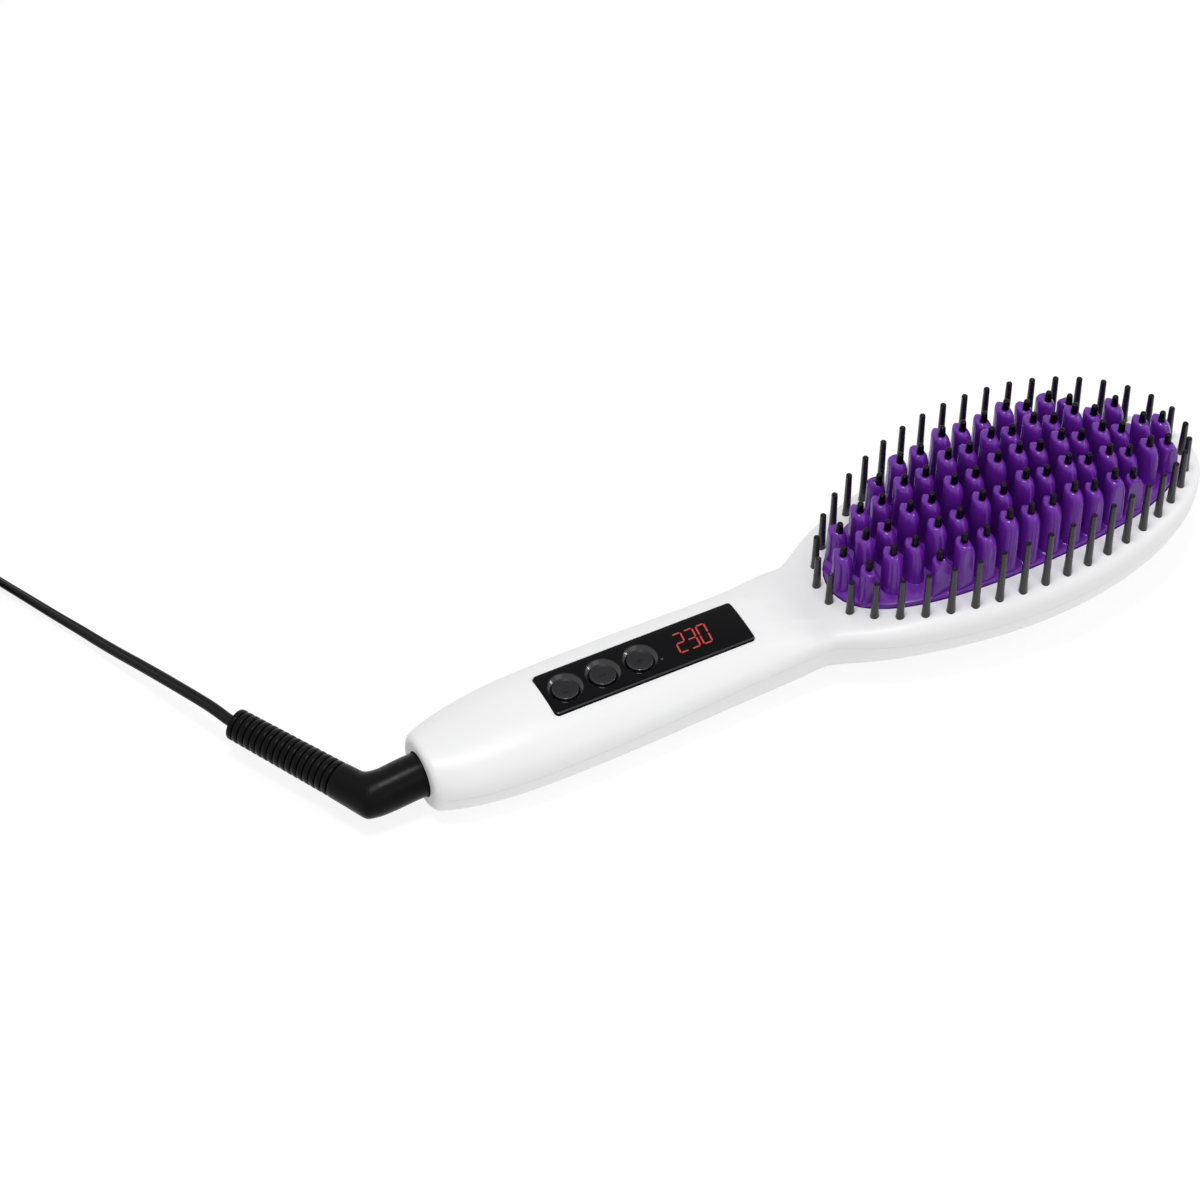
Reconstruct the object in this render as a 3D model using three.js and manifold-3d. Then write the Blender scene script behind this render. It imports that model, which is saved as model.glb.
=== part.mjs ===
// Hair straightening brush: a heated comb plate in an oval head, a ring of outer bristles, a handle with
// three buttons and a display, and a mains cord that turns on a swivel at the end of the handle.
// Millimetres, +Z up, +X towards the tip of the head. The brush lies on its back on the plane z = 0.
import * as THREE from 'three';
import { mergeVertices } from 'three/addons/utils/BufferGeometryUtils.js';
import Module from 'manifold-3d';

const wasm = await Module();
wasm.setup();

// Clearances
const GAP = 0.3;
const CUT = 1;

// Casing outline, seen from above
const BODY_LENGTH = 241;
const END_X = -BODY_LENGTH / 2;
const TIP_X = BODY_LENGTH / 2;
const HEAD_HALF_LENGTH = 62.2;
const HEAD_HALF_WIDTH = 32;
const HEAD_X = TIP_X - HEAD_HALF_LENGTH;
const GRIP_HALF_WIDTH = 17.2;
const GRIP_DISTANCE = 49;
const GRIP_X = END_X + GRIP_DISTANCE;
const GRIP_TAIL = 53.6;
const GRIP_POWER = 2.9;
const NECK_HALF_WIDTH = 15.6;
const NECK_DISTANCE = 71;
const NECK_X = HEAD_X - NECK_DISTANCE;
const NECK_LENGTH = 17;
const END_EDGE = 1.6;

// Casing profile, seen from the side
const WALL = 2;
const SEAM_END_Z = 10;
const SEAM_TIP_Z = 21;
const HANDLE_TOP_Z = 22;
const END_TOP_DROP = 2.4;
const END_TOP_REACH = 32;
const NECK_TOP_DROP = 0.8;
const NECK_DROP_BEFORE = 14;
const NECK_DROP_AFTER = 4;
const FACE_CLIMB_START = 2;
const FACE_CLIMB_END = 14;
const SECTION_BLEND_BEFORE = 12;
const SECTION_BLEND_AFTER = 20;
const BACK_FLAT = 0.5;
const END_BACK_RISE = 1;
const END_BACK_REACH = 26;
const HANDLE_POWER = 2.3;
const FACE_POWER = 6;
const BACK_POWER = 1.95;
const FACE_EDGE_POWER = 7;
const BACK_EDGE_POWER = 2.2;

// Outer bristles on their oval, and the face that they stand on
const RING_MARGIN_LENGTH = 5;
const RING_MARGIN_WIDTH = 3.8;
const RING_HALF_LENGTH = HEAD_HALF_LENGTH - RING_MARGIN_LENGTH;
const RING_HALF_WIDTH = HEAD_HALF_WIDTH - RING_MARGIN_WIDTH;
const BRISTLE_COUNT = 40;
const BRISTLE_ROOT_RADIUS = 1.3;
const BRISTLE_TIP_RADIUS = 0.95;
const BRISTLE_TIP_LENGTH = 0.7;
const BRISTLE_TOP_Z = 44.4;
const BRISTLE_TOP_RISE = 3.2;
const BRISTLE_TOP_CROWN = 10.3;
const FACE_Z = 26.5;
const FACE_RISE = 3.1;
const FACE_CROWN = 3.2;
const CARRIER_DEPTH = 4.4;
const CARRIER_THICKNESS = 2;
const CARRIER_INSIDE = 2.8;
const CARRIER_OUTSIDE = 0.9;
const POST_RADIUS = 2.2;
const POST_INSET = 1.6;

// Comb plate: an oval tray with staggered rows of teeth, long ones and short ones in turn
const PLATE_MARGIN_LENGTH = 2.9;
const PLATE_MARGIN_WIDTH = 5.8;
const PLATE_HALF_LENGTH = RING_HALF_LENGTH - PLATE_MARGIN_LENGTH;
const PLATE_HALF_WIDTH = RING_HALF_WIDTH - PLATE_MARGIN_WIDTH;
const PLATE_POWER = 2.3;
const PLATE_SINK = 0.6;
const PLATE_THICKNESS = 3.4;
const PLATE_LIP = 0.8;
const PLATE_LIP_GAP = 0.8;
const TOOTH_PITCH = 6.8;
const TOOTH_ROW_PITCH = 8.95;
const OUTER_ROW = 2;
const SHORT_ROW = 1;
const TOOTH_HALF_LENGTH = 2.6;
const TOOTH_HALF_WIDTH = 3.9;
const LEAST_TOOTH_HALF_WIDTH = 1.6;
const TOOTH_MARGIN = 0.6;
const TOOTH_STAGGER_Z = 1;
const SHOULDER_DEPTH = 3.2;
const SHOULDER_SHARE = 0.84;
const PEG_TOP_Z = 49.9;
const PEG_TOP_RISE = 3;
const PEG_TOP_CROWN = 22.3;
const PEG_TOP_EASE = 12;
const PEG_TOP_CAMBER = 0.0064;
const PEG_RADIUS = 1.2;
const PEG_HEIGHT = 3.3;

// Heater stack under the tray
const STACK_MARGIN_LENGTH = 9.3;
const STACK_MARGIN_WIDTH = 7.4;
const STACK_HALF_LENGTH = PLATE_HALF_LENGTH - STACK_MARGIN_LENGTH;
const STACK_HALF_WIDTH = PLATE_HALF_WIDTH - STACK_MARGIN_WIDTH;
const MICA_MARGIN = 1;
const HEATER_THICKNESS = 1.2;
const MICA_THICKNESS = 0.6;
const CLAMP_THICKNESS = 1.2;
const SENSOR_RADIUS = 1.2;
const SENSOR_LENGTH = 5;
const FUSE_RADIUS = 1.9;
const FUSE_LENGTH = 10;
const SENSOR_OFFSET = 12;
const SENSOR_X = HEAD_X + SENSOR_OFFSET;
const FUSE_OFFSET = 16;
const FUSE_X = HEAD_X - FUSE_OFFSET;

// Control panel on the handle
const PANEL_LENGTH = 60;
const PANEL_WIDTH = 14.8;
const PANEL_THICKNESS = 2;
const PANEL_CORNER = 1;
const PANEL_DISTANCE = 66.9;
const PANEL_X = END_X + PANEL_DISTANCE;
const PANEL_PROUD = 0.2;
const PANEL_TOP_Z = HANDLE_TOP_Z + PANEL_PROUD;
const PANEL_LEDGE = 1.7;
const PANEL_FRAME_WALL = 1.8;
const PANEL_FRAME_DEPTH = 1.6;
const BUTTON_RADIUS = 3.6;
const BUTTON_PITCH = 11.2;
const BUTTON_FIRST = 6.3;
const BUTTON_SINK = 0.4;
const BUTTON_TRAVEL = 0.5;
const BUTTON_DISH = 0.25;
const BUTTON_FLANGE = 0.5;
const BUTTON_FLANGE_THICKNESS = 1;
const BUTTON_STEM_RADIUS = 1.4;
const WELL_RADIUS = 4.8;
const WELL_DEPTH = 0.9;
const DISPLAY_LENGTH = 20;
const DISPLAY_WIDTH = 9.4;
const DISPLAY_OFFSET = 16.6;
const DISPLAY_X = PANEL_X + DISPLAY_OFFSET;
const LED_RADIUS = 1.2;
const LED_OFFSET = 5;
const LED_X = PANEL_X + LED_OFFSET;
const LED_Y = -2.7;

// Control board and its screws
const BOARD_TOP_Z = 11.6;
const BOARD_THICKNESS = 1.6;
const BOARD_WIDTH = 22;
const BOARD_LENGTH = 66;
const BOARD_CLEARANCE = 3.5;
const SWITCH_WIDTH = 6;
const SWITCH_HEIGHT = 3.6;
const SWITCH_PLUNGER_RADIUS = 1.6;
const BOARD_SCREW_INSET = 4;
const BOARD_SCREW_RADIUS = 0.9;
const BOARD_SCREW_HEAD_RADIUS = 2;
const BOARD_SCREW_HEAD_HEIGHT = 1.3;
const BOARD_SCREW_LENGTH = 6;
const BOARD_BOSS_RADIUS = 2.6;

// Case screws, which go in from the back
const CASE_SCREW_RADIUS = 1.3;
const CASE_SCREW_HEAD_RADIUS = 2.6;
const CASE_SCREW_HEAD_HEIGHT = 1.8;
const CASE_SCREW_GRIP = 7;
const CASE_BOSS_WALL = 1.5;
const CASE_SEAT = 2.4;
const CASE_SEAT_BELOW_SEAM = 2;
const NECK_SCREW_CLEARANCE = 1.5;
const GRIP_SCREW_CLEARANCE = 1.1;
const LEAD_RADIUS = 0.6;

// Swivel and boot
const STEM_RADIUS = 6.2;
const STEM_LENGTH = 16;
const END_WALL = 3.2;
const BUSH_LENGTH = 4.4;
const BUSH_RADIUS = 6.9;
const CORE_NECK_RADIUS = 4.4;
const CORE_FLANGE_RADIUS = 6.4;
const CORE_FLANGE_THICKNESS = 1.8;
const CORE_TAIL_RADIUS = 3.4;
const CORE_TAIL_LENGTH = 10.5;
const CORE_BORE_RADIUS = 1.7;
const SLIP_RING_WALL = 0.9;
const SLIP_RING_WIDTH = 2.4;
const SLIP_RING_SPACING = 4.8;
const CONTACT_STRIP_THICKNESS = 0.5;
const CONTACT_STRIP_WIDTH = 2;
const CONTACT_BLOCK_WIDTH = 9;
const BOOT_TURN = 1.084;
const BOOT_BEND_RADIUS = 7;
const BOOT_TAIL_LENGTH = 43.7;
const BOOT_SMOOTH_LENGTH = 10.4;
const BOOT_ROOT_RADIUS = 5;
const BOOT_END_RADIUS = 4.55;
const RIB_COUNT = 17;
const RIB_DEPTH = 0.6;

// Cord, coil, tie and plug
const CORD_DIAMETER = 3.4;
const CORD_RADIUS = CORD_DIAMETER / 2;
const COIL_ENTRY_X = -200.6;
const COIL_ENTRY_Y = 141.9;
const COIL_ENTRY_ANGLE = 0.44;
const COIL_SPACING = 3.9;
const COIL_LAYERS = 4;
const COIL_TURNS = 13.36;
const COIL_MID_RADIUS = 19.9;
const TIE_THICKNESS = 0.8;
const TIE_WIDTH = 4;
const COIL_TAIL_LENGTH = 26;
const PLUG_LENGTH = 33;
const PLUG_WIDTH = 35;
const PLUG_HEIGHT = 13.7;
const PLUG_NECK_LENGTH = 9;
const PIN_RADIUS = 2;
const PIN_LENGTH = 19;
const PIN_SPACING = 18.6;

// How finely each round form is divided
const CASING = { stations: 20, tipStations: 6, points: 24 };
const INSIDE = { stations: 12, tipStations: 4, points: 12 };
const OVAL_SIDES = 28;
const THIN_OVAL_SIDES = 24;
const FACE_STEPS = 7;
const BRISTLE_SIDES = 5;
const TOOTH_SIDES = 6;
const BOOT_SIDES = 8;
const LOOP_STEPS = 18;
const LOOP_SIDES = 6;

// Finishes
const finish = (color, roughness, metalness = 0) =>
  new THREE.MeshStandardMaterial({ color, roughness, metalness });
const WHITE = finish(0xf2f2f2, 0.35);
const BLACK_GLOSS = finish(0x0b0b0d, 0.12);
const BLACK_SATIN = finish(0x17171a, 0.45);
const BLACK_MATTE = finish(0x232326, 0.6);
const PURPLE = finish(0x5a1d9c, 0.25);
const CORD_BLACK = finish(0x131315, 0.5);
const BOARD_GREEN = finish(0x1f5c35, 0.6);
const STEEL = finish(0xb9bcc0, 0.35, 0.9);
const BRASS = finish(0xb8954a, 0.35, 0.9);
const ALUMINIUM = finish(0xc7c9cc, 0.45, 0.8);
const CERAMIC = finish(0xe7e0d2, 0.7);
const MICA = finish(0xb39f79, 0.5);
const WIRE_RED = finish(0xa5221c, 0.5);
const WIRE_WHITE = finish(0xdddddd, 0.5);

const Z_AXIS = new THREE.Vector3(0, 0, 1);

// Geometry to solid and back
function toSolid(geometry) {
  geometry.deleteAttribute('normal');
  geometry.deleteAttribute('uv');
  const merged = mergeVertices(geometry, 1e-4);
  const vertProperties = new Float32Array(merged.attributes.position.array);
  const triVerts = new Uint32Array(merged.index.array);
  return new wasm.Manifold(new wasm.Mesh({ numProp: 3, vertProperties, triVerts }));
}

function toGeometry(solid) {
  const mesh = solid.getMesh();
  const geometry = new THREE.BufferGeometry();
  geometry.setAttribute('position', new THREE.BufferAttribute(mesh.vertProperties, 3));
  geometry.setIndex(new THREE.BufferAttribute(mesh.triVerts, 1));
  return geometry;
}

const join = (solids) => solids.reduce((whole, solid) => whole.add(solid));

// A closed skin over rings that have the same number of points, with flat ends
function loft(rings) {
  const count = rings[0].length;
  const points = rings.flat();
  const faces = [];
  for (let r = 0; r + 1 < rings.length; r += 1) {
    for (let i = 0; i < count; i += 1) {
      const next = (i + 1) % count;
      const a = r * count + i;
      const b = r * count + next;
      faces.push(a, b, b + count, a, b + count, a + count);
    }
  }
  const last = (rings.length - 1) * count;
  for (let i = 1; i + 1 < count; i += 1) {
    faces.push(0, i + 1, i, last, last + i, last + i + 1);
  }
  const geometry = new THREE.BufferGeometry();
  geometry.setAttribute('position', new THREE.Float32BufferAttribute(points.flatMap((p) => p.toArray()), 3));
  geometry.setIndex(faces);
  return geometry;
}

// A round section carried along points, with its own radius at each
function sweep(points, radiusAt, sides) {
  let side = new THREE.Vector3();
  const rings = points.map((point, i) => {
    const before = points[Math.max(i - 1, 0)];
    const after = points[Math.min(i + 1, points.length - 1)];
    const along = after.clone().sub(before).normalize();
    if (i === 0) side.crossVectors(Z_AXIS, along).normalize();
    side = side.clone().addScaledVector(along, -side.dot(along)).normalize();
    const up = along.clone().cross(side);
    return Array.from({ length: sides }, (_, k) => {
      const angle = ((k + 0.5) / sides) * Math.PI * 2;
      const offset = side.clone().multiplyScalar(Math.cos(angle)).addScaledVector(up, Math.sin(angle));
      return point.clone().addScaledVector(offset, radiusAt(i));
    });
  });
  return loft(rings);
}

const box = (lowX, highX, lowY, highY, lowZ, highZ) =>
  new THREE.BoxGeometry(highX - lowX, highY - lowY, highZ - lowZ)
    .translate((lowX + highX) / 2, (lowY + highY) / 2, (lowZ + highZ) / 2);

const upright = (x, y, lowZ, highZ, radius, sides = 12) =>
  new THREE.CylinderGeometry(radius, radius, highZ - lowZ, sides)
    .rotateX(Math.PI / 2).translate(x, y, (lowZ + highZ) / 2);

const alongX = (lowX, highX, radius, sides = 12) =>
  new THREE.CylinderGeometry(radius, radius, highX - lowX, sides)
    .rotateZ(Math.PI / 2).translate((lowX + highX) / 2, 0, SEAM_END_Z);

// A body of revolution from [radius, height] points, about an upright axis
const turned = (profile, x, y, sides = 14) =>
  new THREE.LatheGeometry(profile.map(([r, z]) => new THREE.Vector2(r, z)), sides)
    .rotateX(Math.PI / 2).translate(x, y, 0);

// A round wire along a smooth curve through points
function wire(points, radius, steps = 8) {
  const path = new THREE.CatmullRomCurve3(points.map((p) => new THREE.Vector3(...p)));
  const circle = new THREE.Shape().absarc(0, 0, radius, 0, Math.PI * 2);
  return new THREE.ExtrudeGeometry(circle, { steps, curveSegments: 3, extrudePath: path });
}

const mix = (low, high, t) => low + (high - low) * t;
const ramp = (low, high, x) => THREE.MathUtils.smoothstep(x, low, high);
const fall = (t, power) => Math.max(1 - Math.abs(t) ** power, 0) ** (1 / power);
const signedPower = (value, power) => Math.sign(value) * Math.abs(value) ** power;

// Casing: half width, and heights of face, seam and back at each station along X
const headShare = (x) => Math.max(x - HEAD_X, 0) / HEAD_HALF_LENGTH;
const seamZ = (x) => mix(SEAM_END_Z, SEAM_TIP_Z, (x - END_X) / BODY_LENGTH);

function faceZ(x) {
  const u = (x - HEAD_X) / RING_HALF_LENGTH;
  return FACE_Z + FACE_RISE * u - FACE_CROWN * u * u;
}

function halfWidth(x) {
  const tail = GRIP_HALF_WIDTH * fall(Math.max(GRIP_X - x, 0) / GRIP_TAIL, GRIP_POWER);
  const grip = tail - (GRIP_HALF_WIDTH - NECK_HALF_WIDTH) * ramp(GRIP_X, NECK_X, x);
  const handle = grip * (1 - ramp(NECK_X + NECK_LENGTH, HEAD_X, x));
  const head = HEAD_HALF_WIDTH * fall((x - HEAD_X) / HEAD_HALF_LENGTH, 2);
  return Math.cbrt(handle ** 3 + head ** 3);
}

function halfTop(x) {
  const end = END_TOP_DROP * (1 - ramp(END_X, END_X + END_TOP_REACH, x));
  const drop = NECK_TOP_DROP * ramp(NECK_X - NECK_DROP_BEFORE, NECK_X + NECK_DROP_AFTER, x);
  const climb = ramp(NECK_X + FACE_CLIMB_START, NECK_X + FACE_CLIMB_END, x);
  const top = mix(HANDLE_TOP_Z - end - drop, faceZ(x), climb);
  return (top - seamZ(x)) * fall(headShare(x), FACE_EDGE_POWER);
}

function halfBack(x) {
  const back = END_BACK_RISE * (1 - ramp(END_X, END_X + END_BACK_REACH, x)) - BACK_FLAT;
  return (seamZ(x) - back) * fall(headShare(x), BACK_EDGE_POWER);
}

// One cross-section of the casing, inset from the outside by a wall
function casingSection(x, inset, edge, count) {
  const past = Math.max(x - HEAD_X, 0);
  const source = x + past * (HEAD_HALF_LENGTH / (HEAD_HALF_LENGTH - inset) - 1);
  const share = past > 0 ? 1 : 0;
  const reduce = (half) => share
    ? half(source) * (1 - inset / half(HEAD_X))
    : half(x) - inset - edge;
  const width = reduce(halfWidth);
  const top = reduce(halfTop);
  const back = reduce(halfBack);
  const blend = ramp(NECK_X - SECTION_BLEND_BEFORE, NECK_X + SECTION_BLEND_AFTER, x);
  const topPower = mix(HANDLE_POWER, FACE_POWER, blend);
  const backPower = mix(HANDLE_POWER, BACK_POWER, blend);
  return Array.from({ length: count }, (_, i) => {
    const angle = (i / count) * Math.PI * 2;
    const power = 2 / (Math.sin(angle) >= 0 ? topPower : backPower);
    const y = width * signedPower(Math.cos(angle), power);
    const z = (Math.sin(angle) >= 0 ? top : back) * signedPower(Math.sin(angle), power);
    return new THREE.Vector3(x, y, seamZ(x) + z);
  });
}

function casingSolid(inset, startX, { stations, tipStations, points }) {
  const rings = [];
  if (inset === 0) {
    for (const share of [0, 0.5]) {
      const turn = (share * Math.PI) / 2;
      const x = startX + END_EDGE * (1 - Math.cos(turn));
      rings.push(casingSection(x, 0, END_EDGE * (1 - Math.sin(turn)), points));
    }
  }
  const first = inset === 0 ? startX + END_EDGE : startX;
  for (let i = 0; i < stations; i += 1) {
    rings.push(casingSection(mix(first, HEAD_X, i / stations), inset, 0, points));
  }
  const reach = HEAD_HALF_LENGTH - inset;
  for (let i = 0; i <= tipStations; i += 1) {
    const turn = (Math.min(i / tipStations, 0.985) * Math.PI) / 2;
    rings.push(casingSection(HEAD_X + reach * Math.sin(turn), inset, 0, points));
  }
  return toSolid(loft(rings));
}

// Everything above or below the sloping seam, less half the seam's gap
function seamSide(sign) {
  const offset = (sign * GAP) / 2;
  const far = sign > 0 ? 90 : -40;
  const start = END_X - 20;
  const stop = TIP_X + 20;
  const shape = new THREE.Shape([
    new THREE.Vector2(start, seamZ(start) + offset),
    new THREE.Vector2(stop, seamZ(stop) + offset),
    new THREE.Vector2(stop, far),
    new THREE.Vector2(start, far),
  ]);
  const width = HEAD_HALF_WIDTH * 4;
  return toSolid(new THREE.ExtrudeGeometry(shape, { depth: width, bevelEnabled: false })
    .rotateX(Math.PI / 2).translate(0, width / 2, 0));
}

// An upright oval column round the head's centre
function ovalColumn(halfLength, halfWidthHere, power = PLATE_POWER, sides = OVAL_SIDES) {
  const shape = new THREE.Shape(Array.from({ length: sides }, (_, i) => {
    const angle = (i / sides) * Math.PI * 2;
    return new THREE.Vector2(halfLength * signedPower(Math.cos(angle), 2 / power),
      halfWidthHere * signedPower(Math.sin(angle), 2 / power));
  }));
  return toSolid(new THREE.ExtrudeGeometry(shape, { depth: 80, bevelEnabled: false })
    .translate(HEAD_X, 0, -10));
}

// A layer that follows the crowned face of the head, between two depths under it
function faceLayer(topDepth, bottomDepth) {
  const steps = FACE_STEPS;
  const reach = HEAD_HALF_LENGTH + 4;
  const station = (i) => HEAD_X + mix(-reach, reach, i / steps);
  const upper = Array.from({ length: steps + 1 }, (_, i) =>
    new THREE.Vector2(station(i), faceZ(station(i)) - topDepth));
  const lower = Array.from({ length: steps + 1 }, (_, i) =>
    new THREE.Vector2(station(steps - i), faceZ(station(steps - i)) - bottomDepth));
  const width = HEAD_HALF_WIDTH * 4;
  return toSolid(new THREE.ExtrudeGeometry(new THREE.Shape([...lower, ...upper]),
    { depth: width, bevelEnabled: false }).rotateX(Math.PI / 2).translate(0, width / 2, 0));
}

const group = new THREE.Group();

function place(name, geometry, material) {
  const mesh = new THREE.Mesh(geometry, material.clone());
  mesh.name = name;
  group.add(mesh);
}

const placeSolid = (name, solid, material) => place(name, toGeometry(solid), material);

// Bristles stand at equal steps along their oval, with none on the long axis
function bristlePlaces() {
  const fine = 720;
  const oval = Array.from({ length: fine + 1 }, (_, i) => {
    const angle = (i / fine) * Math.PI * 2;
    return new THREE.Vector2(RING_HALF_LENGTH * Math.cos(angle), RING_HALF_WIDTH * Math.sin(angle));
  });
  const lengths = [0];
  for (let i = 1; i <= fine; i += 1) lengths.push(lengths[i - 1] + oval[i].distanceTo(oval[i - 1]));
  const places = [];
  for (let i = 0; i < BRISTLE_COUNT; i += 1) {
    const wanted = ((i + 0.5) / BRISTLE_COUNT) * lengths[fine];
    const at = lengths.findIndex((length) => length >= wanted);
    const share = (wanted - lengths[at - 1]) / (lengths[at] - lengths[at - 1]);
    places.push(oval[at - 1].clone().lerp(oval[at], share));
  }
  return places;
}

const bristles = bristlePlaces();

function bristleTopZ(x) {
  const u = x / RING_HALF_LENGTH;
  return BRISTLE_TOP_Z + BRISTLE_TOP_RISE * u - BRISTLE_TOP_CROWN * u * u;
}

// A straight stalk with rings of [height, half length, half width]
function stalk(x, y, levels, sides) {
  return loft(levels.map(([z, halfLength, halfWidthHere]) =>
    Array.from({ length: sides }, (_, i) => {
      const angle = ((i + 0.5) / sides) * Math.PI * 2;
      return new THREE.Vector3(HEAD_X + x + halfLength * Math.cos(angle),
        y + halfWidthHere * Math.sin(angle), z);
    })));
}

function bristleStalk(place) {
  const top = bristleTopZ(place.x);
  const root = faceZ(HEAD_X + place.x) - CARRIER_DEPTH - CARRIER_THICKNESS / 2;
  return stalk(place.x, place.y, [
    [root, BRISTLE_ROOT_RADIUS, BRISTLE_ROOT_RADIUS],
    [top - BRISTLE_TIP_LENGTH, BRISTLE_TIP_RADIUS, BRISTLE_TIP_RADIUS],
    [top, BRISTLE_TIP_RADIUS / 2, BRISTLE_TIP_RADIUS / 2],
  ], BRISTLE_SIDES);
}

function bristleHole(place) {
  const radius = BRISTLE_ROOT_RADIUS + GAP;
  const face = faceZ(HEAD_X + place.x);
  return toSolid(stalk(place.x, place.y, [[face - CARRIER_DEPTH - 6, radius, radius],
    [face + 3, radius, radius]], BRISTLE_SIDES));
}

// Comb teeth stand in rows along X, staggered by half a pitch and clipped by the oval tray
function toothAt(row, step) {
  const x = step * TOOTH_PITCH;
  const end = (Math.abs(x) + TOOTH_HALF_LENGTH / 2) / PLATE_HALF_LENGTH;
  const room = PLATE_HALF_WIDTH * fall(end, PLATE_POWER) - TOOTH_MARGIN;
  const rowY = Math.abs(row) * TOOTH_ROW_PITCH;
  const outer = Math.min(rowY + TOOTH_HALF_WIDTH, room);
  const inner = row === 0 ? -outer : rowY - TOOTH_HALF_WIDTH;
  const tall = (Math.floor(Math.abs(step)) % 2 === 0) !== (Math.abs(row) === OUTER_ROW);
  const u = x / RING_HALF_LENGTH;
  const pegTop = PEG_TOP_Z + PEG_TOP_RISE * u - PEG_TOP_CROWN * u * u + PEG_TOP_EASE * u ** 4
    - PEG_TOP_CAMBER * rowY * rowY + (tall ? TOOTH_STAGGER_Z : -TOOTH_STAGGER_Z);
  return {
    x,
    y: row === 0 ? 0 : (Math.sign(row) * (inner + outer)) / 2,
    halfWidth: (outer - inner) / 2,
    pegTop,
    top: pegTop - PEG_HEIGHT,
  };
}

// The inner row on the +Y side has one tooth fewer at the tip than its fellow on the other side
function toothRow(row) {
  const reach = Math.ceil(PLATE_HALF_LENGTH / TOOTH_PITCH);
  const shift = row % 2 === 0 ? 0.5 : 0;
  const places = Array.from({ length: 2 * reach + 1 }, (_, i) => toothAt(row, i - reach + shift))
    .filter((tooth) => tooth.halfWidth >= LEAST_TOOTH_HALF_WIDTH);
  return row === SHORT_ROW ? places.slice(0, -1) : places;
}

const toothRows = Array.from({ length: 2 * OUTER_ROW + 1 }, (_, i) => toothRow(i - OUTER_ROW));
const teeth = toothRows.flat();

// A blade with rounded shoulders, and the peg on top of it
function toothStalk(tooth) {
  const root = faceZ(HEAD_X + tooth.x) - PLATE_SINK - PLATE_THICKNESS / 2;
  const w = tooth.halfWidth;
  const crown = PEG_RADIUS * 1.2;
  return stalk(tooth.x, tooth.y, [
    [root, TOOTH_HALF_LENGTH, w],
    [tooth.top - SHOULDER_DEPTH, TOOTH_HALF_LENGTH * SHOULDER_SHARE, w * SHOULDER_SHARE],
    [tooth.top, crown, Math.min(crown, w)],
    [tooth.top, PEG_RADIUS, Math.min(PEG_RADIUS, w)],
    [tooth.pegTop, PEG_RADIUS * 0.7, PEG_RADIUS * 0.7],
  ], TOOTH_SIDES);
}

// Places that several pieces share
const trayBottom = PLATE_SINK + PLATE_THICKNESS;
const lipTop = WALL + PLATE_LIP_GAP;
const heaterTop = trayBottom + GAP;
const micaTop = heaterTop + HEATER_THICKNESS + GAP;
const clampTop = micaTop + MICA_THICKNESS + GAP;
const clampBottom = clampTop + CLAMP_THICKNESS;
const panelBottomZ = PANEL_TOP_Z - PANEL_THICKNESS;
const panelStart = PANEL_X - PANEL_LENGTH / 2;
const buttonX = (index) => panelStart + BUTTON_FIRST + index * BUTTON_PITCH;
const boardBottomZ = BOARD_TOP_Z - BOARD_THICKNESS;
const bushStart = END_X + END_WALL + GAP;
const bushEnd = bushStart + BUSH_LENGTH;
const flangeStart = bushEnd + GAP;
const flangeEnd = flangeStart + CORE_FLANGE_THICKNESS;
const cavityStart = bushEnd + GAP;
const slipRingRadius = CORE_TAIL_RADIUS + GAP + SLIP_RING_WALL;
const ringSpots = [0, 1].map((i) => flangeEnd + 1.2 + i * SLIP_RING_SPACING);
const wellRadius = CASE_SCREW_HEAD_RADIUS + GAP;
const bossRadius = wellRadius + CASE_BOSS_WALL;
const coreStop = flangeEnd + CORE_TAIL_LENGTH;
const gripScrewX = coreStop + GRIP_SCREW_CLEARANCE + bossRadius;
const boardStart = gripScrewX + bossRadius + BOARD_CLEARANCE;
const boardStop = boardStart + BOARD_LENGTH;
const neckScrewX = boardStop + NECK_SCREW_CLEARANCE + bossRadius;
const boardScrewEnd = BOARD_TOP_Z - BOARD_SCREW_LENGTH;
const boardScrews = [boardStart + BOARD_SCREW_INSET, boardStop - BOARD_SCREW_INSET].flatMap((x) =>
  [-1, 1].map((side) => [x, side * (BOARD_WIDTH / 2 - BOARD_SCREW_INSET)]));
const caseScrews = [gripScrewX, neckScrewX].map((x) =>
  ({ x, seat: seamZ(x) - CASE_SEAT - CASE_SEAT_BELOW_SEAM }));

const outer = casingSolid(0, END_X, CASING)
  .subtract(toSolid(box(END_X - 5, TIP_X + 5, -60, 60, -20, 0)));
const cavity = casingSolid(WALL, cavityStart, INSIDE);
const room = casingSolid(WALL + GAP, cavityStart + GAP, INSIDE);
const above = seamSide(1);
const below = seamSide(-1);

function swivelCuts() {
  return [
    toSolid(alongX(END_X - CUT, END_X + END_WALL + CUT, STEM_RADIUS + GAP)),
    toSolid(alongX(END_X + END_WALL, cavityStart + CUT, BUSH_RADIUS + GAP)),
  ];
}

function roundedBar(length, width, lowZ, highZ, corner) {
  const [l, w] = [length / 2, width / 2];
  const shape = new THREE.Shape();
  shape.absarc(l - corner, w - corner, corner, 0, Math.PI / 2);
  shape.absarc(-l + corner, w - corner, corner, Math.PI / 2, Math.PI);
  shape.absarc(-l + corner, -w + corner, corner, Math.PI, Math.PI * 1.5);
  shape.absarc(l - corner, -w + corner, corner, Math.PI * 1.5, Math.PI * 2);
  const options = { depth: highZ - lowZ, bevelEnabled: false, curveSegments: 3 };
  return toSolid(new THREE.ExtrudeGeometry(shape, options).translate(PANEL_X, 0, lowZ));
}

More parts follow.
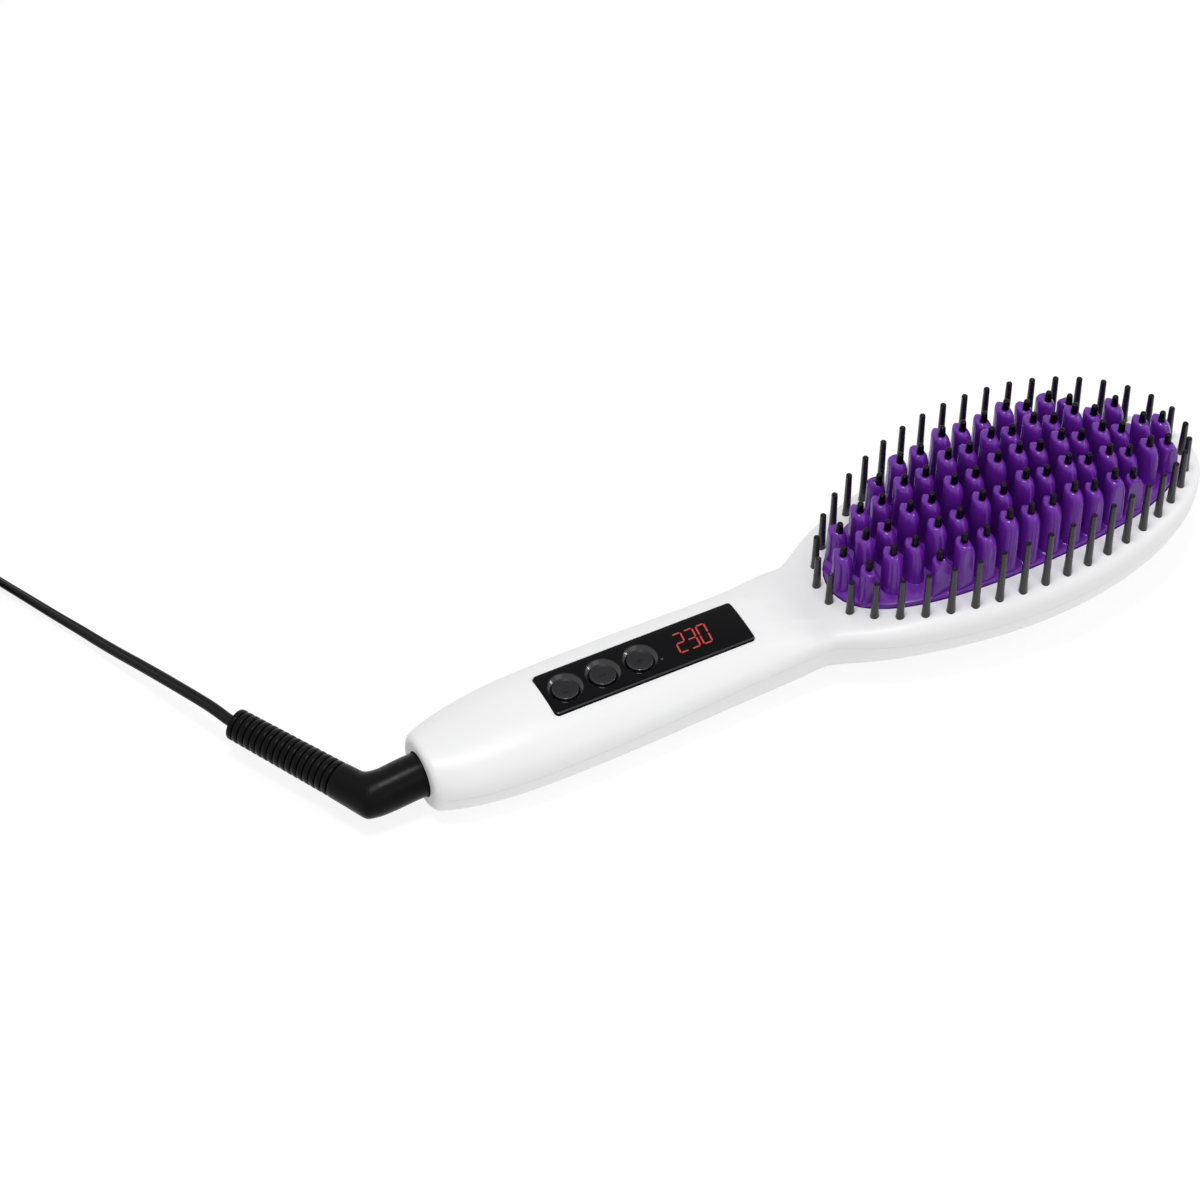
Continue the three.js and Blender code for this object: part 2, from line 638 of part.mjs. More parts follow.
function topShell() {
  const frameSize = [PANEL_LENGTH + 2 * PANEL_FRAME_WALL, PANEL_WIDTH + 2 * PANEL_FRAME_WALL];
  const frame = roundedBar(...frameSize, panelBottomZ - PANEL_FRAME_DEPTH, HANDLE_TOP_Z - 0.6, PANEL_CORNER)
    .intersect(outer);
  const bosses = caseScrews.map(({ x, seat }) =>
    toSolid(upright(x, 0, seat + CASE_SEAT + GAP, HANDLE_TOP_Z - 1, bossRadius)).intersect(outer));
  let shell = outer.subtract(cavity);
  shell = join([shell, frame, ...bosses]).intersect(above);
  const recessSize = [PANEL_LENGTH + 2 * GAP, PANEL_WIDTH + 2 * GAP];
  const windowSize = [PANEL_LENGTH - 2 * PANEL_LEDGE, PANEL_WIDTH - 2 * PANEL_LEDGE];
  const cuts = [
    roundedBar(...recessSize, panelBottomZ - GAP, HANDLE_TOP_Z + 5, PANEL_CORNER),
    roundedBar(...windowSize, panelBottomZ - 6, HANDLE_TOP_Z, PANEL_CORNER),
    ovalColumn(PLATE_HALF_LENGTH + GAP, PLATE_HALF_WIDTH + GAP),
    ...bristles.map(bristleHole),
    ...swivelCuts(),
    ...caseScrews.map(({ x, seat }) =>
      toSolid(upright(x, 0, seat, seat + CASE_SEAT + CASE_SCREW_GRIP, CASE_SCREW_RADIUS + GAP, 12))),
  ];
  return shell.subtract(join(cuts));
}

function bottomShell() {
  const posts = bristles.filter((_, i) => i % 10 === 4).map((place) => {
    const inward = place.clone().multiplyScalar(1 - POST_INSET / place.length());
    return toSolid(upright(HEAD_X + inward.x, inward.y, WALL / 2, FACE_Z + 9, POST_RADIUS, 8));
  });
  const carrierFloor = faceLayer(-40, CARRIER_DEPTH + CARRIER_THICKNESS + GAP);
  const supports = join(posts).subtract(carrierFloor);
  const boardBosses = boardScrews.map(([x, y]) =>
    toSolid(upright(x, y, 1, boardBottomZ - GAP, BOARD_BOSS_RADIUS, 8)));
  const wells = caseScrews.map(({ x, seat }) => toSolid(upright(x, 0, 0, seat + CASE_SEAT, bossRadius)));
  const bosses = join([supports, ...boardBosses, ...wells]).intersect(outer);
  const shell = outer.subtract(cavity).intersect(below).add(bosses);
  const cuts = [
    ...swivelCuts(),
    ...caseScrews.flatMap(({ x, seat }) => [
      toSolid(upright(x, 0, -CUT, seat, wellRadius)),
      toSolid(upright(x, 0, -CUT, seat + CASE_SEAT + CUT, CASE_SCREW_RADIUS + GAP, 12)),
    ]),
    ...boardScrews.map(([x, y]) =>
      toSolid(upright(x, y, boardScrewEnd - GAP, BOARD_TOP_Z, BOARD_SCREW_RADIUS + GAP, 8))),
  ];
  return shell.subtract(join(cuts));
}

function caseScrew({ x, seat }) {
  return turned([
    [0, seat - GAP - CASE_SCREW_HEAD_HEIGHT],
    [CASE_SCREW_HEAD_RADIUS, seat - GAP - CASE_SCREW_HEAD_HEIGHT],
    [CASE_SCREW_HEAD_RADIUS, seat - GAP],
    [CASE_SCREW_RADIUS, seat - GAP],
    [CASE_SCREW_RADIUS, seat + CASE_SEAT + CASE_SCREW_GRIP - GAP - CASE_SCREW_RADIUS],
    [0, seat + CASE_SEAT + CASE_SCREW_GRIP - GAP],
  ], x, 0, 10);
}

function boardScrew([x, y]) {
  return turned([
    [0, boardScrewEnd],
    [BOARD_SCREW_RADIUS, boardScrewEnd + 1],
    [BOARD_SCREW_RADIUS, BOARD_TOP_Z + GAP],
    [BOARD_SCREW_HEAD_RADIUS, BOARD_TOP_Z + GAP],
    [BOARD_SCREW_HEAD_RADIUS * 0.8, BOARD_TOP_Z + GAP + BOARD_SCREW_HEAD_HEIGHT],
    [0, BOARD_TOP_Z + GAP + BOARD_SCREW_HEAD_HEIGHT],
  ], x, y, 8);
}

// The tray fills the opening, and its lip lies under the casing's face
function combPlate() {
  const tray = ovalColumn(PLATE_HALF_LENGTH, PLATE_HALF_WIDTH).intersect(faceLayer(PLATE_SINK, trayBottom));
  const lip = ovalColumn(PLATE_HALF_LENGTH + PLATE_LIP, PLATE_HALF_WIDTH + PLATE_LIP)
    .intersect(faceLayer(lipTop, trayBottom));
  return join([tray, lip, ...teeth.map((tooth) => toSolid(toothStalk(tooth)))]);
}

function bristleRing() {
  const oval = (grow) => ovalColumn(RING_HALF_LENGTH + grow, RING_HALF_WIDTH + grow, 2, THIN_OVAL_SIDES);
  const band = oval(CARRIER_OUTSIDE).subtract(oval(-CARRIER_INSIDE));
  const carrier = band.intersect(faceLayer(CARRIER_DEPTH, CARRIER_DEPTH + CARRIER_THICKNESS)).intersect(room);
  return join([carrier, ...bristles.map((place) => toSolid(bristleStalk(place)))]);
}

const stackLayer = (top, thickness, grow) =>
  ovalColumn(STACK_HALF_LENGTH + grow, STACK_HALF_WIDTH + grow, PLATE_POWER, THIN_OVAL_SIDES)
    .intersect(faceLayer(top, top + thickness));

function controlPanel() {
  const panel = roundedBar(PANEL_LENGTH, PANEL_WIDTH, panelBottomZ, PANEL_TOP_Z, PANEL_CORNER);
  const wells = [0, 1, 2].map((i) => toSolid(turned([
    [0, panelBottomZ - CUT],
    [BUTTON_RADIUS + GAP, panelBottomZ - CUT],
    [BUTTON_RADIUS + GAP, PANEL_TOP_Z - WELL_DEPTH],
    [WELL_RADIUS, PANEL_TOP_Z],
    [WELL_RADIUS, PANEL_TOP_Z + CUT],
    [0, PANEL_TOP_Z + CUT],
  ], buttonX(i), 0)));
  return panel.subtract(join(wells));
}

function button(index) {
  const top = PANEL_TOP_Z - BUTTON_SINK;
  const flangeTop = panelBottomZ - GAP;
  const stemEnd = BOARD_TOP_Z + GAP + SWITCH_HEIGHT + switchPlungerHeight + BUTTON_TRAVEL + GAP;
  return turned([
    [0, stemEnd],
    [BUTTON_STEM_RADIUS, stemEnd],
    [BUTTON_STEM_RADIUS, flangeTop - BUTTON_FLANGE_THICKNESS],
    [BUTTON_RADIUS + BUTTON_FLANGE, flangeTop - BUTTON_FLANGE_THICKNESS],
    [BUTTON_RADIUS + BUTTON_FLANGE, flangeTop],
    [BUTTON_RADIUS, flangeTop],
    [BUTTON_RADIUS, top - 0.3],
    [BUTTON_RADIUS - 0.4, top],
    [BUTTON_RADIUS / 2, top - BUTTON_DISH * 0.75],
    [0, top - BUTTON_DISH],
  ], buttonX(index), 0);
}

const switchPlungerHeight = panelBottomZ - BOARD_TOP_Z - SWITCH_HEIGHT - BUTTON_FLANGE_THICKNESS
  - BUTTON_TRAVEL - 3 * GAP - 0.8;

function tactSwitch(index) {
  const base = BOARD_TOP_Z + GAP;
  const half = SWITCH_WIDTH / 2;
  const x = buttonX(index);
  const body = box(x - half, x + half, -half, half, base, base + SWITCH_HEIGHT);
  const plunger = upright(x, 0, base + SWITCH_HEIGHT - CUT, base + SWITCH_HEIGHT + switchPlungerHeight,
    SWITCH_PLUNGER_RADIUS, 8);
  return toSolid(body).add(toSolid(plunger));
}

function controlBoard() {
  const half = BOARD_WIDTH / 2;
  const board = toSolid(box(boardStart, boardStop, -half, half, boardBottomZ, BOARD_TOP_Z));
  return board.subtract(join(boardScrews.map(([x, y]) =>
    toSolid(upright(x, y, boardBottomZ - CUT, BOARD_TOP_Z + CUT, BOARD_SCREW_RADIUS + GAP, 8)))));
}

// The display and the indicator fill the space between the board and the panel
const displayModule = () => box(DISPLAY_X - DISPLAY_LENGTH / 2, DISPLAY_X + DISPLAY_LENGTH / 2,
  -DISPLAY_WIDTH / 2, DISPLAY_WIDTH / 2, BOARD_TOP_Z + GAP, panelBottomZ - GAP);

const indicatorLed = () =>
  upright(LED_X, LED_Y, BOARD_TOP_Z + GAP, panelBottomZ - GAP, LED_RADIUS, 10);

// Swivel: the core turns in a bush in the handle's end wall and carries two slip rings
function swivelCore() {
  const collar = END_X + 1.2;
  const core = join([
    toSolid(alongX(collar, END_X + END_WALL, STEM_RADIUS - 0.2)),
    toSolid(alongX(collar + 0.5, flangeEnd, CORE_NECK_RADIUS)),
    toSolid(alongX(flangeStart, flangeEnd, CORE_FLANGE_RADIUS)),
    toSolid(alongX(flangeStart, coreStop, CORE_TAIL_RADIUS)),
  ]);
  return core.subtract(toSolid(alongX(collar - CUT, coreStop + CUT, CORE_BORE_RADIUS)));
}

const pipe = (lowX, highX, outside, inside) =>
  toSolid(alongX(lowX, highX, outside)).subtract(toSolid(alongX(lowX - CUT, highX + CUT, inside)));

const slipRing = (x) => pipe(x, x + SLIP_RING_WIDTH, slipRingRadius, CORE_TAIL_RADIUS + GAP);

const contactTopZ = SEAM_END_Z - slipRingRadius - GAP;
const contactBlockTop = contactTopZ - CONTACT_STRIP_THICKNESS - 0.6 - GAP;

// A sprung strip bows up under each slip ring
function contactStrip(x) {
  const half = CONTACT_BLOCK_WIDTH / 2;
  const bow = 0.6;
  const steps = 6;
  const edge = (lift) => Array.from({ length: steps + 1 }, (_, i) => {
    const y = mix(-half, half, i / steps);
    return new THREE.Vector2(y, contactTopZ - bow * (y / half) ** 2 - lift);
  });
  const shape = new THREE.Shape([...edge(CONTACT_STRIP_THICKNESS), ...edge(0).reverse()]);
  const start = x + (SLIP_RING_WIDTH - CONTACT_STRIP_WIDTH) / 2;
  return new THREE.ExtrudeGeometry(shape, { depth: CONTACT_STRIP_WIDTH, bevelEnabled: false })
    .rotateX(Math.PI / 2).rotateZ(Math.PI / 2).translate(start, 0, 0);
}

const contactBlock = () => toSolid(box(ringSpots[0] - 0.5, ringSpots[1] + SLIP_RING_WIDTH + 0.5,
  -CONTACT_BLOCK_WIDTH / 2, CONTACT_BLOCK_WIDTH / 2, -CUT, contactBlockTop)).intersect(room);

// Boot: a stem out of the handle, an elbow, and a ribbed tail that tapers to the cord
const bootDirection = new THREE.Vector3(-Math.cos(BOOT_TURN), Math.sin(BOOT_TURN), 0);
const bootCorner = new THREE.Vector3(END_X - STEM_LENGTH, 0, SEAM_END_Z);
const bootEnd = bootCorner.clone().addScaledVector(bootDirection, BOOT_TAIL_LENGTH);

function cordBoot() {
  const tangent = BOOT_BEND_RADIUS * Math.tan(BOOT_TURN / 2);
  const stemStart = new THREE.Vector3(END_X + 0.9, 0, SEAM_END_Z);
  const points = [stemStart];
  const radii = [STEM_RADIUS - 0.05];
  const bendSteps = 6;
  const centre = bootCorner.clone().add(new THREE.Vector3(tangent, BOOT_BEND_RADIUS, 0));
  for (let i = 0; i <= bendSteps; i += 1) {
    const angle = (i / bendSteps) * BOOT_TURN;
    points.push(centre.clone().add(new THREE.Vector3(-Math.sin(angle), -Math.cos(angle), 0)
      .multiplyScalar(BOOT_BEND_RADIUS)));
    radii.push(STEM_RADIUS - (0.8 * i) / bendSteps);
  }
  const ribStep = (BOOT_TAIL_LENGTH - BOOT_SMOOTH_LENGTH) / RIB_COUNT;
  for (let i = 0; i < RIB_COUNT; i += 1) {
    const radius = mix(BOOT_ROOT_RADIUS, BOOT_END_RADIUS, i / (RIB_COUNT - 1));
    for (const [share, depth] of [[0.1, RIB_DEPTH], [0.55, 0]]) {
      points.push(bootCorner.clone().addScaledVector(bootDirection,
        BOOT_SMOOTH_LENGTH + (i + share) * ribStep));
      radii.push(radius - depth);
    }
  }
  points.push(bootEnd);
  radii.push(BOOT_END_RADIUS - 0.3);
  return sweep(points, (i) => radii[i], BOOT_SIDES);
}

// Cord: a free stretch that comes down to the table, then a coil of the length that is put away
const coilAngle = COIL_ENTRY_ANGLE;
const coilPitchTurns = COIL_TURNS / COIL_LAYERS;
const coilOuter = COIL_MID_RADIUS + (coilPitchTurns * COIL_SPACING) / 2;
const coilFloor = TIE_THICKNESS + GAP + CORD_RADIUS;
const coilCentre = new THREE.Vector3(COIL_ENTRY_X - coilOuter * Math.cos(coilAngle),
  COIL_ENTRY_Y - coilOuter * Math.sin(coilAngle), 0);
const cordStart = bootEnd.clone().addScaledVector(bootDirection, GAP);

const beforeCoil = (distance, z) => new THREE.Vector3(COIL_ENTRY_X + distance * Math.sin(coilAngle),
  COIL_ENTRY_Y - distance * Math.cos(coilAngle), z);

const CORD_POINTS = [
  cordStart,
  cordStart.clone().addScaledVector(bootDirection, 4),
  new THREE.Vector3(-161.2, 48.7, 9.8),
  new THREE.Vector3(-163.9, 56.2, 9),
  new THREE.Vector3(-167.1, 64.9, 7.5),
  new THREE.Vector3(-170.2, 73.7, 5.6),
  new THREE.Vector3(-173, 81.1, 4.2),
  new THREE.Vector3(-175.8, 88.4, 2.9),
  new THREE.Vector3(-178.9, 95.8, 2.2),
  new THREE.Vector3(-182.2, 103.1, 2),
  new THREE.Vector3(-185.7, 110.3, 2),
  new THREE.Vector3(-189.1, 117.5, 2),
  new THREE.Vector3(-192.6, 124.8, 2),
  new THREE.Vector3(-196, 132, 2.3),
  beforeCoil(6, coilFloor - 0.1),
  beforeCoil(GAP, coilFloor),
];

function cordFree() {
  const path = new THREE.CatmullRomCurve3(CORD_POINTS);
  const circle = new THREE.Shape().absarc(0, 0, CORD_RADIUS, 0, Math.PI * 2);
  return new THREE.ExtrudeGeometry(circle, { steps: 14, curveSegments: 4, extrudePath: path });
}

// Radius and height of the coil after so many turns: in and out again, a layer up at each reversal
function coilPoint(turns) {
  const layer = turns / coilPitchTurns;
  const wave = Math.abs(layer - 2 * Math.round(layer / 2));
  const radius = coilOuter - coilPitchTurns * COIL_SPACING * wave;
  let z = coilFloor;
  for (let i = 1; i < COIL_LAYERS; i += 1) {
    const climb = turns - i * coilPitchTurns;
    z += COIL_SPACING * ramp(-0.25, 0.25, climb);
  }
  const angle = coilAngle + turns * Math.PI * 2;
  return new THREE.Vector3(radius * Math.cos(angle), radius * Math.sin(angle), z).add(coilCentre);
}

const coilExitAngle = coilAngle + COIL_TURNS * Math.PI * 2;
const plugDirection = new THREE.Vector3(-Math.sin(coilExitAngle), Math.cos(coilExitAngle), 0);
const plugAxisZ = PLUG_HEIGHT / 2;
const coilTop = coilPoint(COIL_TURNS);
const coilTail = coilTop.clone().addScaledVector(plugDirection, COIL_TAIL_LENGTH).setZ(plugAxisZ);

function coilPath() {
  const points = [coilPoint(0)];
  const entry = new THREE.Vector3(-Math.sin(coilAngle), Math.cos(coilAngle), 0);
  points.push(points[0].clone().addScaledVector(entry, CORD_DIAMETER));
  const steps = Math.round(COIL_TURNS * LOOP_STEPS);
  for (let i = 1; i <= steps; i += 1) {
    const point = coilPoint((i / steps) * COIL_TURNS);
    if (point.distanceTo(points[1]) > CORD_DIAMETER || i > LOOP_STEPS / 2) points.push(point);
  }
  const drop = 5;
  for (let i = 1; i < drop; i += 1) {
    const share = i / drop;
    points.push(coilTop.clone().lerp(coilTail, share).setZ(mix(coilTop.z, plugAxisZ, ramp(0, 0.85, share))));
  }
  points.push(coilTail);
  return points;
}

const coilPoints = coilPath();

// Length of the coil, and the least gap between stretches that are not next to each other
function coilReport() {
  const length = coilPoints.reduce((sum, point, i) => (i ? sum + point.distanceTo(coilPoints[i - 1]) : 0), 0);
  const fine = [];
  for (let i = 1; i < coilPoints.length; i += 1) {
    for (const t of [0, 0.25, 0.5, 0.75]) fine.push(coilPoints[i - 1].clone().lerp(coilPoints[i], t));
  }
  let least = Infinity;
  for (let i = 0; i < fine.length; i += 1) {
    for (let j = i + LOOP_STEPS * 2; j < fine.length; j += 1) {
      least = Math.min(least, fine[i].distanceTo(fine[j]));
    }
  }
  const free = new THREE.CatmullRomCurve3(CORD_POINTS).getLength();
  console.log(`coil ${length.toFixed(0)} mm, free stretch ${free.toFixed(0)} mm, least gap in the coil `
    + `${(least - CORD_DIAMETER).toFixed(2)} mm`);
}

// A flat band round the bundle, on the side away from the plug
function cordTie() {
  const half = (coilPitchTurns * COIL_SPACING) / 2 + CORD_RADIUS + 2 * GAP;
  const height = 2 * TIE_THICKNESS + 2 * GAP + CORD_DIAMETER + (COIL_LAYERS - 1) * COIL_SPACING;
  const outside = new THREE.Shape([
    new THREE.Vector2(-half - TIE_THICKNESS, 0), new THREE.Vector2(half + TIE_THICKNESS, 0),
    new THREE.Vector2(half + TIE_THICKNESS, height), new THREE.Vector2(-half - TIE_THICKNESS, height),
  ]);
  outside.holes.push(new THREE.Path([
    new THREE.Vector2(-half, TIE_THICKNESS), new THREE.Vector2(-half, height - TIE_THICKNESS),
    new THREE.Vector2(half, height - TIE_THICKNESS), new THREE.Vector2(half, TIE_THICKNESS),
  ]));
  const angle = coilAngle + Math.PI * 1.45;
  return new THREE.ExtrudeGeometry(outside, { depth: TIE_WIDTH, bevelEnabled: false })
    .translate(COIL_MID_RADIUS, 0, -TIE_WIDTH / 2).rotateX(Math.PI / 2).rotateZ(angle)
    .translate(coilCentre.x, coilCentre.y, 0);
}

// Plug: flat moulded body, narrow at the cord and wide at the face that the two pins stand on
const plugSide = new THREE.Vector3().crossVectors(Z_AXIS, plugDirection);

function plugRing(distance, width, height) {
  const points = 16;
  const power = 3.2;
  return Array.from({ length: points }, (_, i) => {
    const angle = (i / points) * Math.PI * 2;
    return coilTail.clone().addScaledVector(plugDirection, distance)
      .addScaledVector(plugSide, (width / 2) * signedPower(Math.cos(angle), 2 / power))
      .add(new THREE.Vector3(0, 0, (height / 2) * signedPower(Math.sin(angle), 2 / power)));
  });
}

function plugBody() {
  const start = GAP;
  const neck = start + PLUG_NECK_LENGTH;
  const end = neck + PLUG_LENGTH - PLUG_NECK_LENGTH;
  return loft([
    plugRing(start, CORD_DIAMETER + 2, CORD_DIAMETER + 2),
    plugRing(neck, CORD_DIAMETER + 6, CORD_DIAMETER + 4),
    plugRing(mix(neck, end, 0.3), PLUG_WIDTH * 0.62, PLUG_HEIGHT * 0.86),
    plugRing(mix(neck, end, 0.68), PLUG_WIDTH * 0.95, PLUG_HEIGHT),
    plugRing(end - 1, PLUG_WIDTH, PLUG_HEIGHT),
    plugRing(end, PLUG_WIDTH - 1.6, PLUG_HEIGHT - 1.6),
  ]);
}

function plugPin(sign) {
  const foot = coilTail.clone().addScaledVector(plugDirection, GAP + PLUG_LENGTH + GAP);
  const start = foot.addScaledVector(plugSide, (sign * PIN_SPACING) / 2);
  const levels = [[0, PIN_RADIUS], [PIN_LENGTH - 1.5, PIN_RADIUS], [PIN_LENGTH, PIN_RADIUS * 0.5]];
  return sweep(levels.map(([d]) => start.clone().addScaledVector(plugDirection, d)), (i) => levels[i][1], 8);
}

const clampUnder = (x) => faceZ(x) - clampBottom;

// A small round part that lies across the brush, under the heater clamp
const underClamp = (x, radius, length, gap) => new THREE.CylinderGeometry(radius, radius, length, 12)
  .translate(x, 0, clampUnder(x) - radius - gap);

// Leads inside the casing: they pass either side of the case screw bosses
const bossPass = bossRadius + LEAD_RADIUS + 4 * GAP;
const underBoard = boardBottomZ - GAP - LEAD_RADIUS;
const stackStart = HEAD_X - STACK_HALF_LENGTH;

const mainsLead = (side) => wire([
  [ringSpots[1] + SLIP_RING_WIDTH + LEAD_RADIUS, side * (CONTACT_BLOCK_WIDTH / 2 - 1), contactTopZ - 0.6],
  [gripScrewX - 3, side * bossPass, contactTopZ],
  [gripScrewX + 3, side * (bossPass + 0.3), underBoard - 2],
  [boardStart + 6, side * 2.6, underBoard],
], LEAD_RADIUS);

const heaterLead = (side) => wire([
  [boardStop - 4, side * 3, underBoard],
  [neckScrewX - 4, side * (bossPass - 0.4), underBoard],
  [neckScrewX + 3, side * bossPass, underBoard],
  [stackStart - 9, side * 4.4, faceZ(stackStart - 9) - CARRIER_DEPTH - CARRIER_THICKNESS - 3 * LEAD_RADIUS],
  [stackStart - 4, side * 3.6, faceZ(stackStart - 4) - CARRIER_DEPTH - CARRIER_THICKNESS],
  [stackStart, side * 3, faceZ(stackStart) - heaterTop - HEATER_THICKNESS / 2],
], LEAD_RADIUS);

const sensorLead = () => wire([
  [boardStop - 5, 0, underBoard],
  [neckScrewX - 6, -bossPass + 0.8, underBoard - 3 * LEAD_RADIUS - GAP],
  [neckScrewX + 3, -bossPass - 3 * LEAD_RADIUS, underBoard - 3 * LEAD_RADIUS - GAP],
  [stackStart, -8, underBoard],
  [FUSE_X, -8, clampUnder(FUSE_X) - 4],
  [SENSOR_X - 10, -2, clampUnder(SENSOR_X - 10) - 2 * LEAD_RADIUS - 0.6],
  [SENSOR_X - SENSOR_RADIUS - LEAD_RADIUS, 0, clampUnder(SENSOR_X) - SENSOR_RADIUS - GAP],
], LEAD_RADIUS);

placeSolid('top_shell', topShell(), WHITE);
placeSolid('bottom_shell', bottomShell(), WHITE);
caseScrews.forEach((spot, i) => place(`case_screw_${i + 1}`, caseScrew(spot), STEEL));
placeSolid('control_panel', controlPanel(), BLACK_GLOSS);
place('power_button', button(0), BLACK_MATTE);
place('cooler_button', button(1), BLACK_MATTE);
place('hotter_button', button(2), BLACK_MATTE);
[0, 1, 2].forEach((i) => placeSolid(`tact_switch_${i + 1}`, tactSwitch(i), BLACK_SATIN));
place('display_module', displayModule(), BLACK_SATIN);
place('indicator_led', indicatorLed(), WIRE_RED);
placeSolid('control_board', controlBoard(), BOARD_GREEN);
boardScrews.forEach((spot, i) => place(`board_screw_${i + 1}`, boardScrew(spot), STEEL));
placeSolid('comb_plate', combPlate(), PURPLE);
placeSolid('bristle_ring', bristleRing(), BLACK_MATTE);
placeSolid('heater_plate', stackLayer(heaterTop, HEATER_THICKNESS, 0), CERAMIC);
placeSolid('mica_sheet', stackLayer(micaTop, MICA_THICKNESS, MICA_MARGIN), MICA);
placeSolid('heater_clamp', stackLayer(clampTop, CLAMP_THICKNESS, MICA_MARGIN), ALUMINIUM);
place('temperature_sensor', underClamp(SENSOR_X, SENSOR_RADIUS, SENSOR_LENGTH, GAP), CERAMIC);
place('thermal_fuse', underClamp(FUSE_X, FUSE_RADIUS, FUSE_LENGTH, GAP + 0.2), STEEL);
placeSolid('swivel_bush', pipe(bushStart, bushEnd, BUSH_RADIUS, CORE_NECK_RADIUS + GAP), CERAMIC);
placeSolid('swivel_core', swivelCore(), BLACK_SATIN);
ringSpots.forEach((x, i) => placeSolid(`slip_ring_${i + 1}`, slipRing(x), BRASS));
ringSpots.forEach((x, i) => place(`contact_strip_${i + 1}`, contactStrip(x), BRASS));
placeSolid('contact_block', contactBlock(), CERAMIC);
[-1, 1].forEach((side, i) => place(`mains_lead_${i + 1}`, mainsLead(side), WIRE_WHITE));
[-1, 1].forEach((side, i) => place(`heater_lead_${i + 1}`, heaterLead(side), WIRE_RED));
place('sensor_lead', sensorLead(), WIRE_WHITE);
place('cord_boot', cordBoot(), BLACK_SATIN);
place('cord_free', cordFree(), CORD_BLACK);
place('cord_coil', sweep(coilPoints, () => CORD_RADIUS, LOOP_SIDES), CORD_BLACK);
place('cord_tie', cordTie(), BLACK_MATTE);
place('plug_body', plugBody(), BLACK_SATIN);
[-1, 1].forEach((sign, i) => place(`plug_pin_${i + 1}`, plugPin(sign), STEEL));

coilReport();

export default group;
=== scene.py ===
"""Finishes and detailed forms for a hair straightening brush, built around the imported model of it.

Pieces are shaped in millimetres, and piece() turns them into metres.
+Z is up, and +X points to the tip of the head.
"""

import math

import bmesh
import bpy
from mathutils import Matrix, Vector


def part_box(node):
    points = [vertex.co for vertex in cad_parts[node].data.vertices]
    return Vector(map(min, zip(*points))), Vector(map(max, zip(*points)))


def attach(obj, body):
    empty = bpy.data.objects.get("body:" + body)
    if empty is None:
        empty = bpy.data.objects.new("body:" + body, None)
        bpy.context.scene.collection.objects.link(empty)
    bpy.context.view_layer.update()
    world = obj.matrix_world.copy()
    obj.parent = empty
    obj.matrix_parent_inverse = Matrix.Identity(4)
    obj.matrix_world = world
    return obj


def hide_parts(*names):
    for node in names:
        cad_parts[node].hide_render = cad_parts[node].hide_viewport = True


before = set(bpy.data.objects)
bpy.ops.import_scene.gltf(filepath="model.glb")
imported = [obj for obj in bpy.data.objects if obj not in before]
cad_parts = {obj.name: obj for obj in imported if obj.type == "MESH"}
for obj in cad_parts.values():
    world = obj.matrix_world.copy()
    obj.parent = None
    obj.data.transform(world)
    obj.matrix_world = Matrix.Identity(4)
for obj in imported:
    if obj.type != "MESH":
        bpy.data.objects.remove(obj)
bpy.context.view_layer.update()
MM = 0.001
scene = bpy.context.scene

# Camera, at the place from which the photograph was taken: the lens in millimetres, the rest in metres
CAMERA_LENS = 109.5
CAMERA_AIM = Vector((-0.06402, 0.00561, 0.04444))
CAMERA_DISTANCE = 0.9618
CAMERA_BACK = Vector((-0.3129, -0.6065, 0.7309)).normalized()
CAMERA_RIGHT = Vector((0.8887, -0.4585, 0)).normalized()

# Casing
END_X = -120.5
TIP_X = 120.5
HEAD_X = 58.3
HEAD_HALF_LENGTH = 62.18
HEAD_HALF_WIDTH = 31.98
GRIP_X = -71.5
NECK_X = -12.7
GRIP_HALF_WIDTH = 17.2
NECK_HALF_WIDTH = 15.6
SEAM_END_Z = 10
SEAM_TIP_Z = 21
SEAM_GAP = 0.07
HANDLE_TOP_Z = 22
WALL = 2
END_EDGE = 1.6
END_BORE_RADIUS = 6.5
SCREWS = {"case_screw_1": (-94.5, 6.79), "case_screw_2": (-14.7, 10.43)}

# Bristles and comb
RING_HALF_LENGTH = 57.2
RING_HALF_WIDTH = 28.2
BRISTLE_COUNT = 40
PLATE_HALF_LENGTH = 54.3
PLATE_HALF_WIDTH = 22.4
PLATE_POWER = 2.3
PLATE_DEPTH = 4
FLOOR_RISE = 0.45
FLOOR_CROWN = 2.25
TOOTH_PITCH = 6.8
TOOTH_ROW_PITCH = 8.95
TOOTH_HALF_WIDTH = 3.9
LEAST_HALF_WIDTH = 1.6
STALK_HALF_LENGTH = 2.75
STALK_HALF_WIDTH = 3.95
PEG_HEIGHT = 3.3

# Control panel
PANEL_X = -53.6
PANEL_TOP_Z = 22.2
PANEL_THICKNESS = 2
PANEL_LENGTH = 60
PANEL_WIDTH = 14.8
BUTTON_XS = {"power_button": -77.3, "cooler_button": -66.1, "hotter_button": -54.9}
BUTTON_SINK = 0.4
DISH_RADIUS = 5.0
DIGITS = "230"
DIGIT_XS = (-42.45, -38.95, -35.3)
DOT_SPOT = (-49.65, -2.76)

